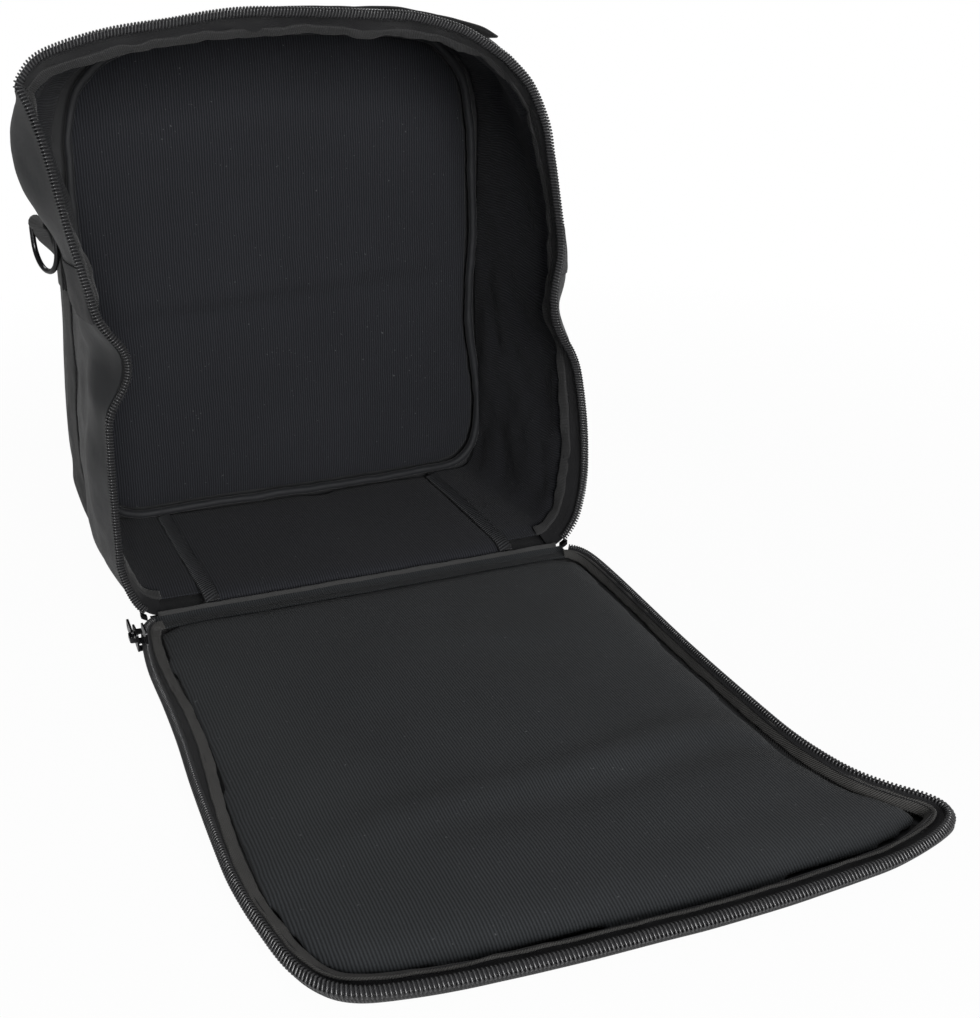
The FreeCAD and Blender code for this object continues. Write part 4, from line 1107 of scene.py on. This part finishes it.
def d_ring(side, sign):
    """D-ring: straight bar, legs and bow in one closed wire."""
    wire = []
    corners = ((-22, 0, 5, 180), (22, 0, 5, 90), (22, -36, 21.1, 0), (-22, -36, 21.1, -90))
    for cx, cz, radius, begin in corners:
        ix, iz = cx - math.copysign(radius, cx), cz - (radius if cz == 0 else -radius)
        for a in np.radians(np.linspace(begin, begin - 90, 15)):
            wire.append((ix + radius * math.cos(a), iz + radius * math.sin(a)))
    across, down = even(np.array(wire + wire[:1]), 97)[:-1].T
    c, s = math.cos(math.radians(RING_TURN)), math.sin(math.radians(RING_TURN))
    bar_x, bar_y, bar_z = RING_BAR
    line = np.column_stack([sign * (bar_x + across * s), bar_y + across * c, bar_z + down])
    normal = np.broadcast_to(np.array([sign * c, -s, 0.0]), line.shape)
    rings = oval_rings(line, normal, unit(np.cross(around_run(line), normal)), 4.4, 4.4, 14)
    ring = tube(side + "_d_ring", rings, None, black_metal, True)
    add_to(ring, side + "_ring", "black_metal", side + "_ring")


for side, left, sign in (("left", True, -1), ("right", False, 1)):
    side_webbing(side, left)
    ring_loop(side, left, sign)
    d_ring(side, sign)


def carry_handle():
    """Webbing handle lying low over the top, its ends sewn down."""
    ways = np.linspace(412, 784, 1500)
    x = np.linspace(-148, 148, 180)
    way = np.interp(x, on_wall(ways, 100.0)[:, 0], ways)
    rise = 2.8 * (1 - np.clip(np.abs(x) / 97, 0, 1) ** 2.2)
    sag = ripple(x, 0, 60, 131) * 0.6 * step(0, 30, 97 - np.abs(x))
    line = on_wall(way, 100.0, 1.6) + np.array([0, 0, 1.0]) * (rise + sag)[:, None]
    side = np.broadcast_to(np.array([0.0, 1.0, 0.0]), line.shape)
    belt("top_carry_handle", line, side, 38.0, 1.9, "carry_handle")


carry_handle()


# stage and light
WHITE = (1, 1, 1, 1)


def make_floor():
    """A pale floor that fades to white away from the bag, as the camera sees it."""
    bpy.ops.mesh.primitive_plane_add(size=8, location=(0, 0, 0))
    floor = bpy.context.object
    floor.name = "floor"
    m = Nodes("pale_floor", (0.82, 0.82, 0.82), 0.9)
    glow = m.add("ShaderNodeEmission", in_Color=WHITE)
    place = m.add("ShaderNodeNewGeometry").outputs["Position"]
    far = m.add("ShaderNodeVectorMath", operation="LENGTH", in_0=place).outputs["Value"]
    fade = m.ramp(far, 0.965, 1.0, 0.5, 1.2)
    share = m.math("MULTIPLY", m.add("ShaderNodeLightPath").outputs["Is Camera Ray"], fade)
    blend = m.add("ShaderNodeMixShader", in_0=share, in_1=m.shader.outputs[0], in_2=glow.outputs[0])
    m.link(blend.outputs[0], m.tree.nodes["Material Output"].inputs["Surface"])
    floor.data.materials.append(m.material)


def make_surround():
    """A white surround that lights the bag only faintly."""
    world = bpy.data.worlds.new("studio")
    bpy.context.scene.world = world
    world.use_nodes = True
    w = NodeTree(world.node_tree)
    light = w.tree.nodes["Background"]
    light.inputs[0].default_value = WHITE
    light.inputs[1].default_value = 0.13
    white = w.add("ShaderNodeBackground", in_0=WHITE, in_1=1.0)
    camera_ray = w.add("ShaderNodeLightPath").outputs["Is Camera Ray"]
    mix = w.add("ShaderNodeMixShader", in_0=camera_ray, in_1=light.outputs[0], in_2=white.outputs[0])
    w.link(mix.outputs[0], w.tree.nodes["World Output"].inputs[0])


def lamp(name, place, target, size, power):
    """A square soft light that faces a point."""
    data = bpy.data.lights.new(name, "AREA")
    data.size = size
    data.energy = power
    obj = link_object(name, data)
    obj.location = place
    obj.rotation_mode = "QUATERNION"
    obj.rotation_quaternion = (Vector(target) - Vector(place)).to_track_quat("-Z", "Y")


make_floor()
make_surround()
lamp("front_light", (-0.25, -2.3, 0.75), (0, 0, 0.22), 0.9, 34)
lamp("top_light", (0.5, -0.9, 2.1), (0, -0.2, 0.1), 1.3, 4.5)
lamp("rear_light", (-0.5, 1.7, 1.9), (0, 0, 0.2), 1.0, 12)

for name in ("zip_slider", "zip_pull", "zip_end_stops"):
    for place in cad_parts[name].material_slots:
        place.material = black_metal

bpy.context.scene.view_settings.view_transform = "Standard"
